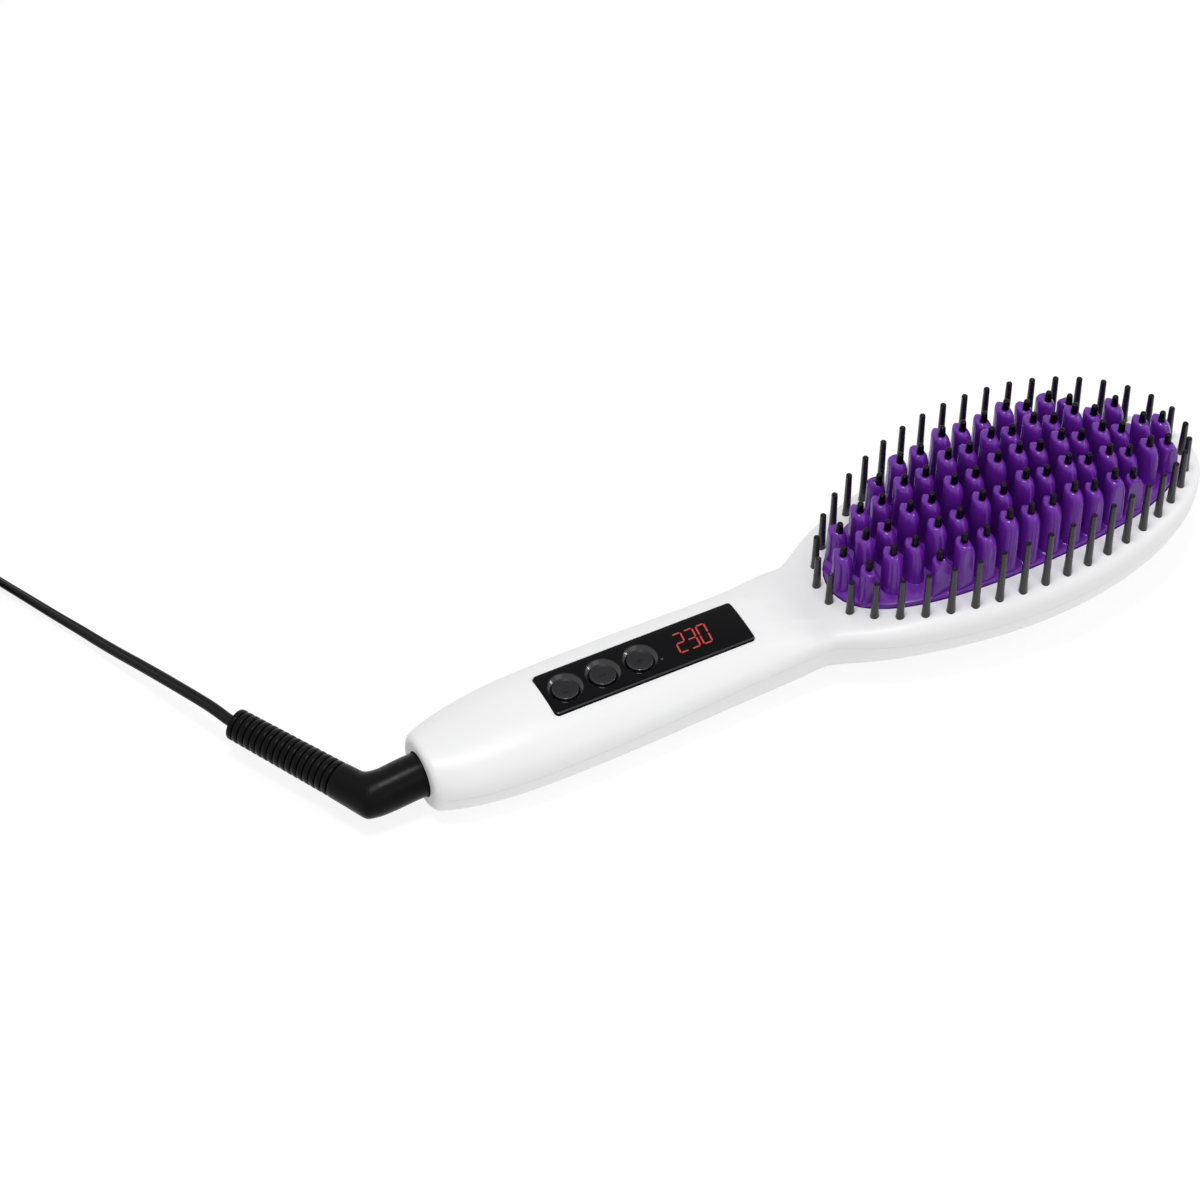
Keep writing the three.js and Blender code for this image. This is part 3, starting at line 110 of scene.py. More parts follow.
# Swivel, boot and cord
STEM_RADIUS = 6.15
STEM_LENGTH = 14.9
BOOT_TURN = 1.084
BOOT_BEND = 9.5
BOOT_TAIL = 44.9
BOOT_SAG = 1.4
BOOT_SMOOTH = 10.4
BOOT_ROOT_RADIUS = 5
BOOT_END_RADIUS = 4.55
RIB_COUNT = 17
CORD_WIDTH = 3.4
CORD_THICKNESS = 2.36
COIL_SPACING = 3.4
COIL_LAYERS = 4
COIL_TURNS = 13.36
COIL_ANGLE = 0.44
COIL_MID_RADIUS = 19.9
COIL_FLOOR = 2.8
COIL_TURN_STEPS = 48
TAIL_LENGTH = 26
TAIL_STEPS = 12
TIE_THICKNESS = 0.8
TIE_PLAY = 0.3
TIE_HALF_WIDTH = 2
TIE_TURN = 1.45 * math.pi
PLUG_Z = 6.85
PLUG_FACE = 33.2
PIN_OFFSET = 9.3

# Floor in millimetres, and light
FLOOR_SIZE = 4000
FLOOR_DROP = 0.05
FLOOR_TONE = 0.92
FLOOR_GLOW = 1.05
FLOOR_GLOW_SHARE = 0.82
ROOM_STRENGTH = 0.57

# An evenly divided curve is first drawn with this many short steps for each of its own
FINE_STEPS = 12


def mix(low, high, share):
    return low + (high - low) * share


def ramp(low, high, x):
    """Rises smoothly from 0 at low to 1 at high."""
    t = min(max((x - low) / (high - low), 0), 1)
    return t * t * (3 - 2 * t)


def fall(share, power):
    """Falls from 1 to 0 as share goes from 0 to 1, late and steeply where the power is high."""
    return max(1 - abs(share) ** power, 0) ** (1 / power)


def set_camera():
    data = bpy.data.cameras.new("photo_camera")
    data.lens = CAMERA_LENS
    data.sensor_width = 36
    data.clip_start = 0.01
    camera = bpy.data.objects.new("photo_camera", data)
    up = CAMERA_BACK.cross(CAMERA_RIGHT)
    turn = Matrix((CAMERA_RIGHT, up, CAMERA_BACK)).transposed().to_4x4()
    place = CAMERA_AIM + CAMERA_DISTANCE * CAMERA_BACK
    camera.matrix_world = Matrix.Translation(place) @ turn
    scene.collection.objects.link(camera)
    scene.camera = camera


# Materials: a base tone with broad and fine variation, and a fine surface grain
BROAD_SCALE = 28
GRAIN_STRENGTH = 0.4
COAT_ROUGHNESS = 0.08
GLOSS_DRIFT = 0.12


def finish(name, tone, roughness, metal=0.0, grain=1400, grain_depth=0.00001, drift=0.05, specular=0.5,
           coat=0.0, streaks=None):
    material = bpy.data.materials.new(name)
    material.use_nodes = True
    nodes, links = material.node_tree.nodes, material.node_tree.links
    shader = nodes["Principled BSDF"]
    shader.inputs["Metallic"].default_value = metal
    shader.inputs["Specular IOR Level"].default_value = specular
    shader.inputs["Coat Weight"].default_value = coat
    shader.inputs["Coat Roughness"].default_value = COAT_ROUGHNESS
    place = nodes.new("ShaderNodeTexCoord")
    spread = nodes.new("ShaderNodeMapping")
    spread.inputs["Scale"].default_value = streaks or (1, 1, 1)
    links.new(place.outputs["Object"], spread.inputs["Vector"])
    broad = nodes.new("ShaderNodeTexNoise")
    broad.inputs["Scale"].default_value = BROAD_SCALE
    broad.inputs["Detail"].default_value = 3
    fine = nodes.new("ShaderNodeTexNoise")
    fine.inputs["Scale"].default_value = grain
    fine.inputs["Detail"].default_value = 4
    for texture in (broad, fine):
        links.new(spread.outputs["Vector"], texture.inputs["Vector"])
    colour = nodes.new("ShaderNodeMix")
    colour.data_type = "RGBA"
    colour.inputs["A"].default_value = (*[c * (1 - drift) for c in tone], 1)
    colour.inputs["B"].default_value = (*[min(c * (1 + drift), 1) for c in tone], 1)
    links.new(broad.outputs["Fac"], colour.inputs["Factor"])
    links.new(colour.outputs["Result"], shader.inputs["Base Color"])
    gloss = nodes.new("ShaderNodeMapRange")
    gloss.inputs["From Min"].default_value = 0.3
    gloss.inputs["From Max"].default_value = 0.7
    gloss.inputs["To Min"].default_value = roughness * (1 - GLOSS_DRIFT)
    gloss.inputs["To Max"].default_value = min(roughness * (1 + GLOSS_DRIFT), 1)
    links.new(fine.outputs["Fac"], gloss.inputs["Value"])
    links.new(gloss.outputs["Result"], shader.inputs["Roughness"])
    bump = nodes.new("ShaderNodeBump")
    bump.inputs["Strength"].default_value = GRAIN_STRENGTH
    bump.inputs["Distance"].default_value = grain_depth
    links.new(fine.outputs["Fac"], bump.inputs["Height"])
    links.new(bump.outputs["Normal"], shader.inputs["Normal"])
    return material


def lit(material, tone, strength):
    """Makes the material shine in that tone."""
    shader = material.node_tree.nodes["Principled BSDF"]
    shader.inputs["Emission Color"].default_value = (*tone, 1)
    shader.inputs["Emission Strength"].default_value = strength
    return material


WHITE = finish("white_casing", (0.83, 0.83, 0.838), 0.42, grain=1800, grain_depth=0.000006, drift=0.012)
PURPLE = finish("purple_comb", (0.138, 0.016, 0.335), 0.15, grain=900, grain_depth=0.00002, drift=0.14,
                coat=0.15, specular=0.3)
PEG_BLACK = finish("peg_black", (0.003, 0.002, 0.003), 0.16, drift=0.15, specular=0.14)
BRISTLE_GREY = finish("bristle_nylon", (0.012, 0.012, 0.012), 0.26, drift=0.12, streaks=(1, 1, 0.15))
PANEL_BLACK = finish("panel_gloss", (0.0016, 0.0016, 0.0024), 0.1, drift=0.2, specular=0.07)
# The panel black again, but glossier, put only on sloping faces: painted reflection
PANEL_PAINTED_SHEEN = finish("panel_painted_sheen", (0.003, 0.003, 0.004), 0.2, drift=0.2, specular=0.6)
BUTTON_GREY = finish("button_satin", (0.008, 0.008, 0.010), 0.36, drift=0.08, specular=0.2)
BOOT_BLACK = finish("boot_rubber", (0.001, 0.0008, 0.0014), 0.32, grain=1200, grain_depth=0.00001, drift=0.12,
                    specular=0.1)
CORD_BLACK = finish("cord_jacket", (0.004, 0.0035, 0.004), 0.32, grain=1100, grain_depth=0.00002, drift=0.15,
                    specular=0.16)
TIE_BLACK = finish("tie_plastic", (0.008, 0.008, 0.009), 0.5, grain=700, grain_depth=0.00003, drift=0.1,
                   specular=0.2)
PLUG_BLACK = finish("plug_plastic", (0.006, 0.006, 0.007), 0.4, grain=1000, grain_depth=0.00003, drift=0.1,
                    specular=0.2)
PIN_METAL = finish("pin_metal", (0.62, 0.61, 0.58), 0.22, metal=1.0, drift=0.06, streaks=(1, 1, 4))
SCREW_STEEL = finish("screw_steel", (0.42, 0.42, 0.43), 0.32, metal=1.0, drift=0.08)
SWITCH_BLACK = finish("switch_plastic", (0.014, 0.014, 0.016), 0.5, drift=0.1)
BRASS = finish("contact_brass", (0.52, 0.36, 0.12), 0.3, metal=1.0, drift=0.1)
IVORY = finish("ivory_plastic", (0.72, 0.66, 0.55), 0.45, drift=0.05)
BOARD_GREEN = finish("board_green", (0.012, 0.1, 0.035), 0.42, grain=500, drift=0.25)
CERAMIC = finish("heater_ceramic", (0.76, 0.72, 0.64), 0.62, grain=600, grain_depth=0.00004, drift=0.06)
MICA = finish("mica_sheet", (0.42, 0.33, 0.2), 0.35, grain=300, drift=0.25, streaks=(1, 3, 1))
ALUMINIUM = finish("clamp_aluminium", (0.7, 0.71, 0.72), 0.36, metal=1.0, drift=0.06, streaks=(0.1, 1, 1))
WIRE_WHITE = finish("white_wire", (0.7, 0.7, 0.7), 0.42, drift=0.05)
WIRE_RED = finish("red_wire", (0.36, 0.016, 0.012), 0.42, drift=0.1)
RED_LENS = finish("red_lens", (0.3, 0.01, 0.008), 0.2, drift=0.1)
DIGIT_RED = lit(finish("digit_red", (0.2, 0.008, 0.006), 0.3, drift=0.08), (0.46, 0.025, 0.02), 0.75)
DOT_GREY = finish("indicator_dot", (0.05, 0.03, 0.032), 0.3, drift=0.1)

# The solids that keep their own shape, by finish
INNER_FINISHES = (
    (SWITCH_BLACK, ("tact_switch_1", "tact_switch_2", "tact_switch_3", "display_module", "swivel_core")),
    (SCREW_STEEL, ("board_screw_1", "board_screw_2", "board_screw_3", "board_screw_4", "thermal_fuse")),
    (BRASS, ("slip_ring_1", "slip_ring_2", "contact_strip_1", "contact_strip_2")),
    (WIRE_WHITE, ("mains_lead_1", "mains_lead_2", "sensor_lead")),
    (WIRE_RED, ("heater_lead_1", "heater_lead_2")),
    (CERAMIC, ("heater_plate", "temperature_sensor")),
    (IVORY, ("swivel_bush", "contact_block")),
    (BOARD_GREEN, ("control_board",)),
    (RED_LENS, ("indicator_led",)),
    (MICA, ("mica_sheet",)),
    (ALUMINIUM, ("heater_clamp",)),
)


# Modelling steps
def loop_edges(bm, loop):
    return [bm.edges.get(pair) for pair in zip(loop, loop[1:] + loop[:1])]


def set_points(loop, points):
    for vert, point in zip(loop, points):
        vert.co = point


def drawn(bm, rings, caps=(True, True)):
    """Draws the first ring of points out through the others, and closes the ends that caps names."""
    loop = bmesh.ops.create_circle(bm, segments=len(rings[0]), radius=1)["verts"][:1]
    while len(loop) < len(rings[0]):
        near = [e.other_vert(loop[-1]) for e in loop[-1].link_edges]
        loop.append(next(v for v in near if v not in loop[-2:]))
    set_points(loop, rings[0])
    ends = [loop]
    for points in rings[1:]:
        made = bmesh.ops.extrude_edge_only(bm, edges=loop_edges(bm, loop))["geom"]
        fresh = {item for item in made if isinstance(item, bmesh.types.BMVert)}
        loop = [next(e.other_vert(v) for e in v.link_edges if e.other_vert(v) in fresh) for v in loop]
        set_points(loop, points)
    ends.append(loop)
    for end, closed in zip(ends, caps):
        if closed:
            bmesh.ops.contextual_create(bm, geom=loop_edges(bm, end))


def turned(bm, profile, x=0, y=0, steps=24):
    """Spins a [radius, height] profile about an upright axis."""
    verts = [bm.verts.new((x + radius, y, z)) for radius, z in profile]
    edges = [bm.edges.new(pair) for pair in zip(verts, verts[1:])]
    bmesh.ops.spin(bm, geom=verts + edges, cent=(x, y, 0), axis=(0, 0, 1), angle=math.tau, steps=steps,
                   use_merge=True, use_duplicate=False)


def oval(half_length, half_width, power=2, count=96):
    """Points round an oval, at equal steps along it."""
    fine = FINE_STEPS * count
    dense = []
    for i in range(fine + 1):
        angle = i / fine * math.tau
        c, s = math.cos(angle), math.sin(angle)
        dense.append(Vector((half_length * math.copysign(abs(c) ** (2 / power), c),
                             half_width * math.copysign(abs(s) ** (2 / power), s))))
    return even(dense, count)[:-1]


def even(points, count):
    """The same line again, with count equal steps."""
    lengths = [0.0]
    for a, b in zip(points, points[1:]):
        lengths.append(lengths[-1] + (b - a).length)
    result, at = [], 0
    for i in range(count + 1):
        wanted = lengths[-1] * i / count
        while at + 2 < len(points) and lengths[at + 1] < wanted:
            at += 1
        span = lengths[at + 1] - lengths[at]
        result.append(points[at].lerp(points[at + 1], (wanted - lengths[at]) / span if span else 0))
    return result


def piece(name, bm, material, body="brush_body", replaces=(), sharp=40):
    """Makes an object of the mesh, in metres, parents it to what it rides on, and hides the parts it
    replaces.
    """
    bmesh.ops.remove_doubles(bm, verts=bm.verts, dist=0.0005)
    bmesh.ops.recalc_face_normals(bm, faces=bm.faces)
    bmesh.ops.scale(bm, vec=(MM, MM, MM), verts=bm.verts)
    mesh = bpy.data.meshes.new(name)
    bm.to_mesh(mesh)
    bm.free()
    mesh.materials.append(material)
    obj = bpy.data.objects.new(name, mesh)
    scene.collection.objects.link(obj)
    soften(obj, sharp)
    if body:
        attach(obj, body)
    if replaces:
        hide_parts(*replaces)
    return obj


def tint(obj, material, choose):
    """Gives another material to each face for which choose(normal, centre in millimetres) is true."""
    obj.data.materials.append(material)
    for face in obj.data.polygons:
        if choose(face.normal, face.center / MM):
            face.material_index = len(obj.data.materials) - 1


def soften(obj, sharp):
    """Smooth shading, in which edges of more than that many degrees stay hard."""
    obj.data.shade_smooth()
    obj.data.set_sharp_from_angle(angle=math.radians(sharp))


def applied(obj):
    """Gives the object the mesh that its modifiers make."""
    graph = bpy.context.evaluated_depsgraph_get()
    mesh = bpy.data.meshes.new_from_object(obj.evaluated_get(graph))
    old = obj.data
    obj.modifiers.clear()
    obj.data = mesh
    mesh.name = obj.name
    bpy.data.meshes.remove(old)


def cut(obj, cutter, operation="DIFFERENCE"):
    """Takes the cutter away from the object or, with UNION, adds it. The cutter is used up."""
    step = obj.modifiers.new("cut", "BOOLEAN")
    step.operation = operation
    step.solver = "EXACT"
    step.object = cutter
    applied(obj)
    mesh = cutter.data
    bpy.data.objects.remove(cutter)
    bpy.data.meshes.remove(mesh)


# Casing outline and sections
TAIL_REACH = 53.6
TAIL_POWER = 2.9
NECK_POWER = 3
END_DROP = 2.4
NECK_DROP = 0.8
NOSE_POWER = 7
KEEL_POWER = 2.2
KEEL_DEPTH = 0.5
TOP_POWERS = (2.3, 6)
BACK_POWERS = (2.3, 1.95)
HALF_RING = 40
EDGE_STEPS = 6
BODY_STEPS = 84
NOSE_STEPS = 30
NOSE_SHARE = 0.998


def seam_z(x):
    """Height of the seam, which rises towards the head's tip."""
    return mix(SEAM_END_Z, SEAM_TIP_Z, (x - END_X) / (TIP_X - END_X))


def face_z(x):
    """Height of the head's dished face."""
    u = (x - HEAD_X) / RING_HALF_LENGTH
    return 26.5 + 3.1 * u - 3.2 * u * u


def half_width(x):
    """A handle with a round end runs into an oval head."""
    tail = GRIP_HALF_WIDTH * fall(max(GRIP_X - x, 0) / TAIL_REACH, TAIL_POWER)
    grip = tail - (GRIP_HALF_WIDTH - NECK_HALF_WIDTH) * ramp(GRIP_X, NECK_X, x)
    handle = grip * (1 - ramp(NECK_X + 17, HEAD_X, x))
    head = HEAD_HALF_WIDTH * fall((x - HEAD_X) / HEAD_HALF_LENGTH, 2)
    return (handle ** NECK_POWER + head ** NECK_POWER) ** (1 / NECK_POWER)


def half_top(x):
    """Height over the seam: lower at the end and the neck, and round at the head's nose."""
    end = END_DROP * (1 - ramp(END_X, END_X + 32, x))
    neck = NECK_DROP * ramp(NECK_X - 14, NECK_X + 4, x)
    top = mix(HANDLE_TOP_Z - end - neck, face_z(x), ramp(NECK_X + 2, NECK_X + 14, x))
    return (top - seam_z(x)) * fall(max(x - HEAD_X, 0) / HEAD_HALF_LENGTH, NOSE_POWER)


def half_back(x):
    """Depth under the seam. It passes the table a little, so that the back can be cut flat."""
    back = (1 - ramp(END_X, END_X + 26, x)) - KEEL_DEPTH
    return (seam_z(x) - back) * fall(max(x - HEAD_X, 0) / HEAD_HALF_LENGTH, KEEL_POWER)


def section(x, edge=0.0):
    """One ring of the casing, from its +Y seam over the top and back under."""
    width, top, back = half_width(x) - edge, half_top(x) - edge, half_back(x) - edge
    blend = ramp(NECK_X - 12, NECK_X + 20, x)
    ring = []
    for height, powers, start in ((top, TOP_POWERS, 0), (-back, BACK_POWERS, math.pi)):
        power = mix(*powers, blend)
        fine = HALF_RING * FINE_STEPS
        dense = []
        for i in range(fine + 1):
            angle = start + i / fine * math.pi
            c, s = math.cos(angle), abs(math.sin(angle))
            dense.append(Vector((x, width * math.copysign(abs(c) ** (2 / power), c),
                                 seam_z(x) + height * s ** (2 / power))))
        ring += even(dense, HALF_RING)[:-1]
    return ring


def casing_rings():
    """From the bore in the handle's end, over its rounded edge, along the body and to the head's nose."""
    count = 2 * HALF_RING
    bore = []
    for i in range(count):
        angle = i / count * math.tau
        bore.append((END_BORE_RADIUS * math.cos(angle), SEAM_END_Z + END_BORE_RADIUS * math.sin(angle)))
    rings = [[Vector((END_X + depth, y, z)) for y, z in bore] for depth in (3.6, 1.8, 0.0)]
    for i in range(EDGE_STEPS + 1):
        turn = i / EDGE_STEPS * math.pi / 2
        past_bore = 0.001 if i == 0 else 0
        inwards = END_EDGE * (1 - math.sin(turn))
        rings.append(section(END_X + END_EDGE * (1 - math.cos(turn)) + past_bore, inwards))
    for i in range(1, BODY_STEPS):
        rings.append(section(mix(END_X + END_EDGE, HEAD_X, i / BODY_STEPS)))
    for i in range(NOSE_STEPS + 1):
        turn = min(i / NOSE_STEPS, NOSE_SHARE) * math.pi / 2
        rings.append(section(HEAD_X + HEAD_HALF_LENGTH * math.sin(turn)))
    return rings


def half_casing(name, above, replaces):
    """The casing on one side of the seam plane, with a wall inwards."""
    bm = bmesh.new()
    drawn(bm, casing_rings(), caps=(False, True))
    slope = Vector((TIP_X - END_X, 0, SEAM_TIP_Z - SEAM_END_Z)).normalized()
    normal = Vector((-slope.z, 0, slope.x))
    offset = SEAM_GAP / 2 if above else -SEAM_GAP / 2
    bmesh.ops.bisect_plane(bm, geom=bm.verts[:] + bm.edges[:] + bm.faces[:],
                           plane_co=(END_X, 0, SEAM_END_Z + offset), plane_no=normal,
                           clear_inner=above, clear_outer=not above)
    for vert in bm.verts:
        vert.co.z = max(vert.co.z, 0)
    shell = piece(name, bm, WHITE, replaces=replaces, sharp=CASING_CREASE)
    wall = shell.modifiers.new("wall", "SOLIDIFY")
    wall.thickness = WALL * MM
    wall.offset = -1
    wall.use_quality_normals = True
    applied(shell)
    return shell


def column(bm, outline, x, low, high):
    """An upright column on an outline of flat points."""
    drawn(bm, [[Vector((x + p.x, p.y, z)) for p in outline] for z in (low, high)])


def bar_outline(length, width, corner):
    """A rectangle with round corners."""
    half = Vector((length / 2 - corner, width / 2 - corner))
    steps = 6
    points = []
    for start, sx, sy in ((0, 1, 1), (1, -1, 1), (2, -1, -1), (3, 1, -1)):
        for i in range(steps + 1):
            angle = (start + i / steps) * math.pi / 2
            points.append(Vector((sx * half.x + corner * math.cos(angle),
                                  sy * half.y + corner * math.sin(angle))))
    return points


# Every second point of the oval, so that no bristle stands at its very ends
BRISTLE_OVAL = oval(RING_HALF_LENGTH, RING_HALF_WIDTH, count=2 * BRISTLE_COUNT)
BRISTLES = BRISTLE_OVAL[1::2]
BRISTLE_BORE_RADIUS = 1.27
BRISTLE_BORE_SIDES = 16
CASING_CREASE = 42


def top_casing():
    """The upper half, with an opening for the comb, one for the panel and a bore for each bristle."""
    shell = half_casing("top_casing", True, ["top_shell"])
    low, high = 16, 40
    bm = bmesh.new()
    column(bm, oval(PLATE_HALF_LENGTH + 0.3, PLATE_HALF_WIDTH + 0.3, PLATE_POWER), HEAD_X, 15, 60)
    column(bm, bar_outline(PANEL_LENGTH + 0.5, PANEL_WIDTH + 0.5, 1.3), PANEL_X, low, high)
    angles = [i / BRISTLE_BORE_SIDES * math.tau for i in range(BRISTLE_BORE_SIDES)]
    for spot in BRISTLES:
        bore = [Vector((spot.x + BRISTLE_BORE_RADIUS * math.cos(angle),
                        spot.y + BRISTLE_BORE_RADIUS * math.sin(angle))) for angle in angles]
        column(bm, bore, HEAD_X, low, high)
    cut(shell, piece("top_cutter", bm, WHITE, body=None))
    soften(shell, CASING_CREASE)


def bottom_casing():
    """The lower half, with a boss and a well for each case screw."""
    shell = half_casing("bottom_casing", False, ["bottom_shell"])
    bosses = bmesh.new()
    wells = bmesh.new()
    for x, seat in SCREWS.values():
        turned(bosses, [(0, 0.4), (4.4, 0.4), (4.4, seat + 2.4), (0, seat + 2.4)], x, steps=32)
        turned(wells, [(0, -2), (3.3, -2), (3.3, -0.05), (2.9, 0.45), (2.9, seat), (1.6, seat),
                       (1.6, seat + 4), (0, seat + 4)], x, steps=32)
    cut(shell, piece("bosses", bosses, WHITE, body=None), "UNION")
    cut(shell, piece("wells", wells, WHITE, body=None))
    soften(shell, CASING_CREASE)


def case_screws():
    """Pan-headed screws. Each bar of the cross drive is cut by itself, because overlapping cutters fail."""
    bar_size = (3.0, 0.62, 2.2)
    first_turn = 0.4
    for name, (x, seat) in SCREWS.items():
        bm = bmesh.new()
        head = seat - 0.3
        end = seat + 9.1
        turned(bm, [(0, head - 1.8), (1.3, head - 1.78), (2.2, head - 1.55), (2.55, head - 1.1),
                    (2.6, head - 0.6), (2.6, head), (1.3, head), (1.25, seat + 8.1), (0.5, end), (0, end)],
               x, steps=32)
        screw = piece(name + "_detailed", bm, SCREW_STEEL, replaces=[name])
        for turn in (first_turn, first_turn + math.pi / 2):
            slot = bmesh.new()
            fresh = bmesh.ops.create_cube(slot, size=1)["verts"]
            bmesh.ops.scale(slot, vec=bar_size, verts=fresh)
            bmesh.ops.rotate(slot, matrix=Matrix.Rotation(turn, 3, "Z"), verts=fresh)
            bmesh.ops.translate(slot, vec=(x, 0, head - 1.9), verts=fresh)
            cut(screw, piece("drive", slot, SCREW_STEEL, body=None))
        soften(screw, 30)


# Comb: a crowned tray with lens-shaped teeth, and a black peg on each
def floor_z(x, y):
    """Height of the tray's crowned floor."""
    reach = (abs(x) / PLATE_HALF_LENGTH) ** 2
    crown = FLOOR_CROWN * (1 - (y / PLATE_HALF_WIDTH) ** 2) * (1 - reach ** 3)
    return face_z(HEAD_X + x) + FLOOR_RISE + crown


def tooth_room(x):
    """Half the tray's width that a tooth at x may take."""
    end = (abs(x) + 1.3) / PLATE_HALF_LENGTH
    return PLATE_HALF_WIDTH * fall(end, PLATE_POWER) - 0.6


def peg_top_z(x, y, tall):
    """The pegs' tops lie on a dome, and each peg stands 1 mm over or under it."""
    u = x / RING_HALF_LENGTH
    return 49.9 + 3 * u - 22.3 * u * u + 12 * u ** 4 - 0.0064 * y ** 2 + (1 if tall else -1)


def comb_teeth():
    """Each tooth's x, its peg's y, its own y and its peg's top, in five staggered rows."""
    teeth = []
    for row in range(-2, 3):
        shift = 0.5 if row % 2 == 0 else 0
        places = []
        for i in range(-8, 9):
            step = i + shift
            x = step * TOOTH_PITCH
            row_y = abs(row) * TOOTH_ROW_PITCH
            outer = min(row_y + TOOTH_HALF_WIDTH, tooth_room(x))
            inner = -outer if row == 0 else row_y - TOOTH_HALF_WIDTH
            if (outer - inner) / 2 < LEAST_HALF_WIDTH:
                continue
            tall = (int(abs(step)) % 2 == 0) != (abs(row) == 2)
            side = 0 if row == 0 else math.copysign(1, row)
            places.append((x, side * (inner + outer) / 2, side * row_y, peg_top_z(x, row_y, tall)))
        # The photograph shows no tooth at the tip end of row 1
        teeth += places[:-1] if row == 1 else places
    return teeth


TEETH = comb_teeth()


def lens_ring(x, y, half_length, half_wide, z, sides=28):
    """A ring with a rounded point towards -Y and +Y."""
    ring = []
    for i in range(sides):
        angle = (i + 0.5) / sides * math.tau
        c, s = math.cos(angle), math.sin(angle)
        along = half_length * math.copysign(abs(c) ** 1.3, c)
        ring.append(Vector((HEAD_X + x + along, y + half_wide * s, z)))
    return ring


def tooth_rings(x, y, row_y, peg_top):
    """From under the floor up a lens-shaped stalk, and over a shoulder that slopes and leans aside."""
    top = peg_top - PEG_HEIGHT
    room = tooth_room(x)
    foot = floor_z(x, y)
    # Height, share of the stalk's length and width, and share of the lean
    levels = [(foot - 1.6, 1.12, 1.05, 0), (foot - 0.1, 1.1, 1.04, 0), (foot + 0.5, 1.03, 1.015, 0),
              (foot + 1.4, 1.0, 1.0, 0), (mix(foot, top, 0.5), 0.97, 0.98, 0), (top - 3.4, 0.93, 0.96, 0.1),
              (top - 2.3, 0.9, 0.93, 0.3), (top - 1.5, 0.86, 0.89, 0.55), (top - 0.9, 0.8, 0.84, 0.8),
              (top - 0.45, 0.72, 0.77, 1), (top - 0.15, 0.64, 0.68, 1), (top + 0.05, 0.55, 0.56, 0.9),
              (top + 0.1, 0.47, 0.42, 0.5), (top + 0.08, 0.42, 0.31, 0.1), (top - 0.05, 0.39, 0.27, 0)]
    rings = []
    for z, along, across, lean in levels:
        ring = lens_ring(x - 0.3 * lean, row_y + 0.5 * lean, STALK_HALF_LENGTH * along,
                         STALK_HALF_WIDTH * across, z)
        for point in ring:
            point.z += lean * (0.04 * (point.y - row_y) - 0.09 * (point.x - HEAD_X - x))
            point.y = min(max(point.y, -room), room)
        rings.append(ring)
    return rings


def comb():
    """The tray's underside and lip, its crowned floor, and the teeth. The pegs are a piece of their own."""
    bm = bmesh.new()
    rim, rim_depth = 0.8, 2.8
    outline = oval(PLATE_HALF_LENGTH, PLATE_HALF_WIDTH, PLATE_POWER, 120)
    grown = oval(PLATE_HALF_LENGTH + rim, PLATE_HALF_WIDTH + rim, PLATE_POWER, 120)

    def level(points, share, below):
        return [Vector((HEAD_X + p.x * share, p.y * share, face_z(HEAD_X + p.x * share) - below))
                for p in points]

    def floor(share, drop=0.0):
        return [Vector((HEAD_X + p.x * share, p.y * share, floor_z(p.x * share, p.y * share) - drop))
                for p in outline]

    rings = [level(outline, 0.3, PLATE_DEPTH), level(outline, 0.97, PLATE_DEPTH),
             level(grown, 1, PLATE_DEPTH), level(grown, 1, rim_depth), level(outline, 1, rim_depth),
             floor(1, 0.9), floor(0.9995, 0.2), floor(0.998, 0.05), floor(0.994, 0)]
    rings += [floor(share) for share in (0.94, 0.88, 0.8, 0.7, 0.6, 0.5, 0.4, 0.3, 0.2, 0.1, 0.03)]
    drawn(bm, rings)
    for tooth in TEETH:
        drawn(bm, tooth_rings(*tooth))
    piece("comb_tray", bm, PURPLE, replaces=["comb_plate"], sharp=60)

    pegs = bmesh.new()
    for x, y, _, top in TEETH:
        base = top - PEG_HEIGHT
        turned(pegs, [(0, base - 0.8), (1.04, base - 0.8), (1.04, base), (1.0, base + 0.9),
                      (0.92, base + 2.3), (0.87, top - 0.5), (0.78, top - 0.22), (0.6, top - 0.05),
                      (0.3, top), (0, top)], HEAD_X + x, y, 16)
    piece("comb_pegs", pegs, PEG_BLACK, replaces=["comb_plate"], sharp=60)


def bristle_top_z(u):
    """Height of a bristle's tip, from its place along the ring between -1 and 1."""
    return 44.4 + 3.2 * u - 10.3 * u * u


def outer_bristles():
    """The bristles with their blunt tips, and the ring under the casing's face that they stand on."""
    bm = bmesh.new()
    for spot in BRISTLES:
        x = HEAD_X + spot.x
        top = bristle_top_z(spot.x / RING_HALF_LENGTH)
        face = face_z(x)
        middle = mix(face + 4, top, 0.5)
        turned(bm, [(0, face - 5), (1.22, face - 5), (1.2, face - 0.2), (1.16, face + 0.6),
                    (1.09, face + 2.2), (1.04, face + 4), (0.95, middle), (0.87, top - 0.45),
                    (0.84, top - 0.2), (0.72, top - 0.04), (0.55, top), (0.42, top - 0.04),
                    (0.3, top - 0.16), (0, top - 0.2)], x, spot.y, 18)
    inner = oval(RING_HALF_LENGTH - 2.7, RING_HALF_WIDTH - 2.7, count=80)
    outer = oval(RING_HALF_LENGTH + 0.7, RING_HALF_WIDTH + 0.7, count=80)

    def band(points, below):
        return [Vector((HEAD_X + p.x, p.y, face_z(HEAD_X + p.x) - below)) for p in points]

    drawn(bm, [band(inner, 4.4), band(outer, 4.4), band(outer, 6.3), band(inner, 6.3), band(inner, 4.4)],
          caps=(False, False))
    bristles = piece("outer_bristles", bm, BRISTLE_GREY, replaces=["bristle_ring"],
                     sharp=50)
    # Upward-facing faces of the bristle tips take the darker, less glossy peg black: painted shade
    over_face = 31
    tint(bristles, PEG_BLACK, lambda normal, centre: normal.z > 0.25 and centre.z > over_face)


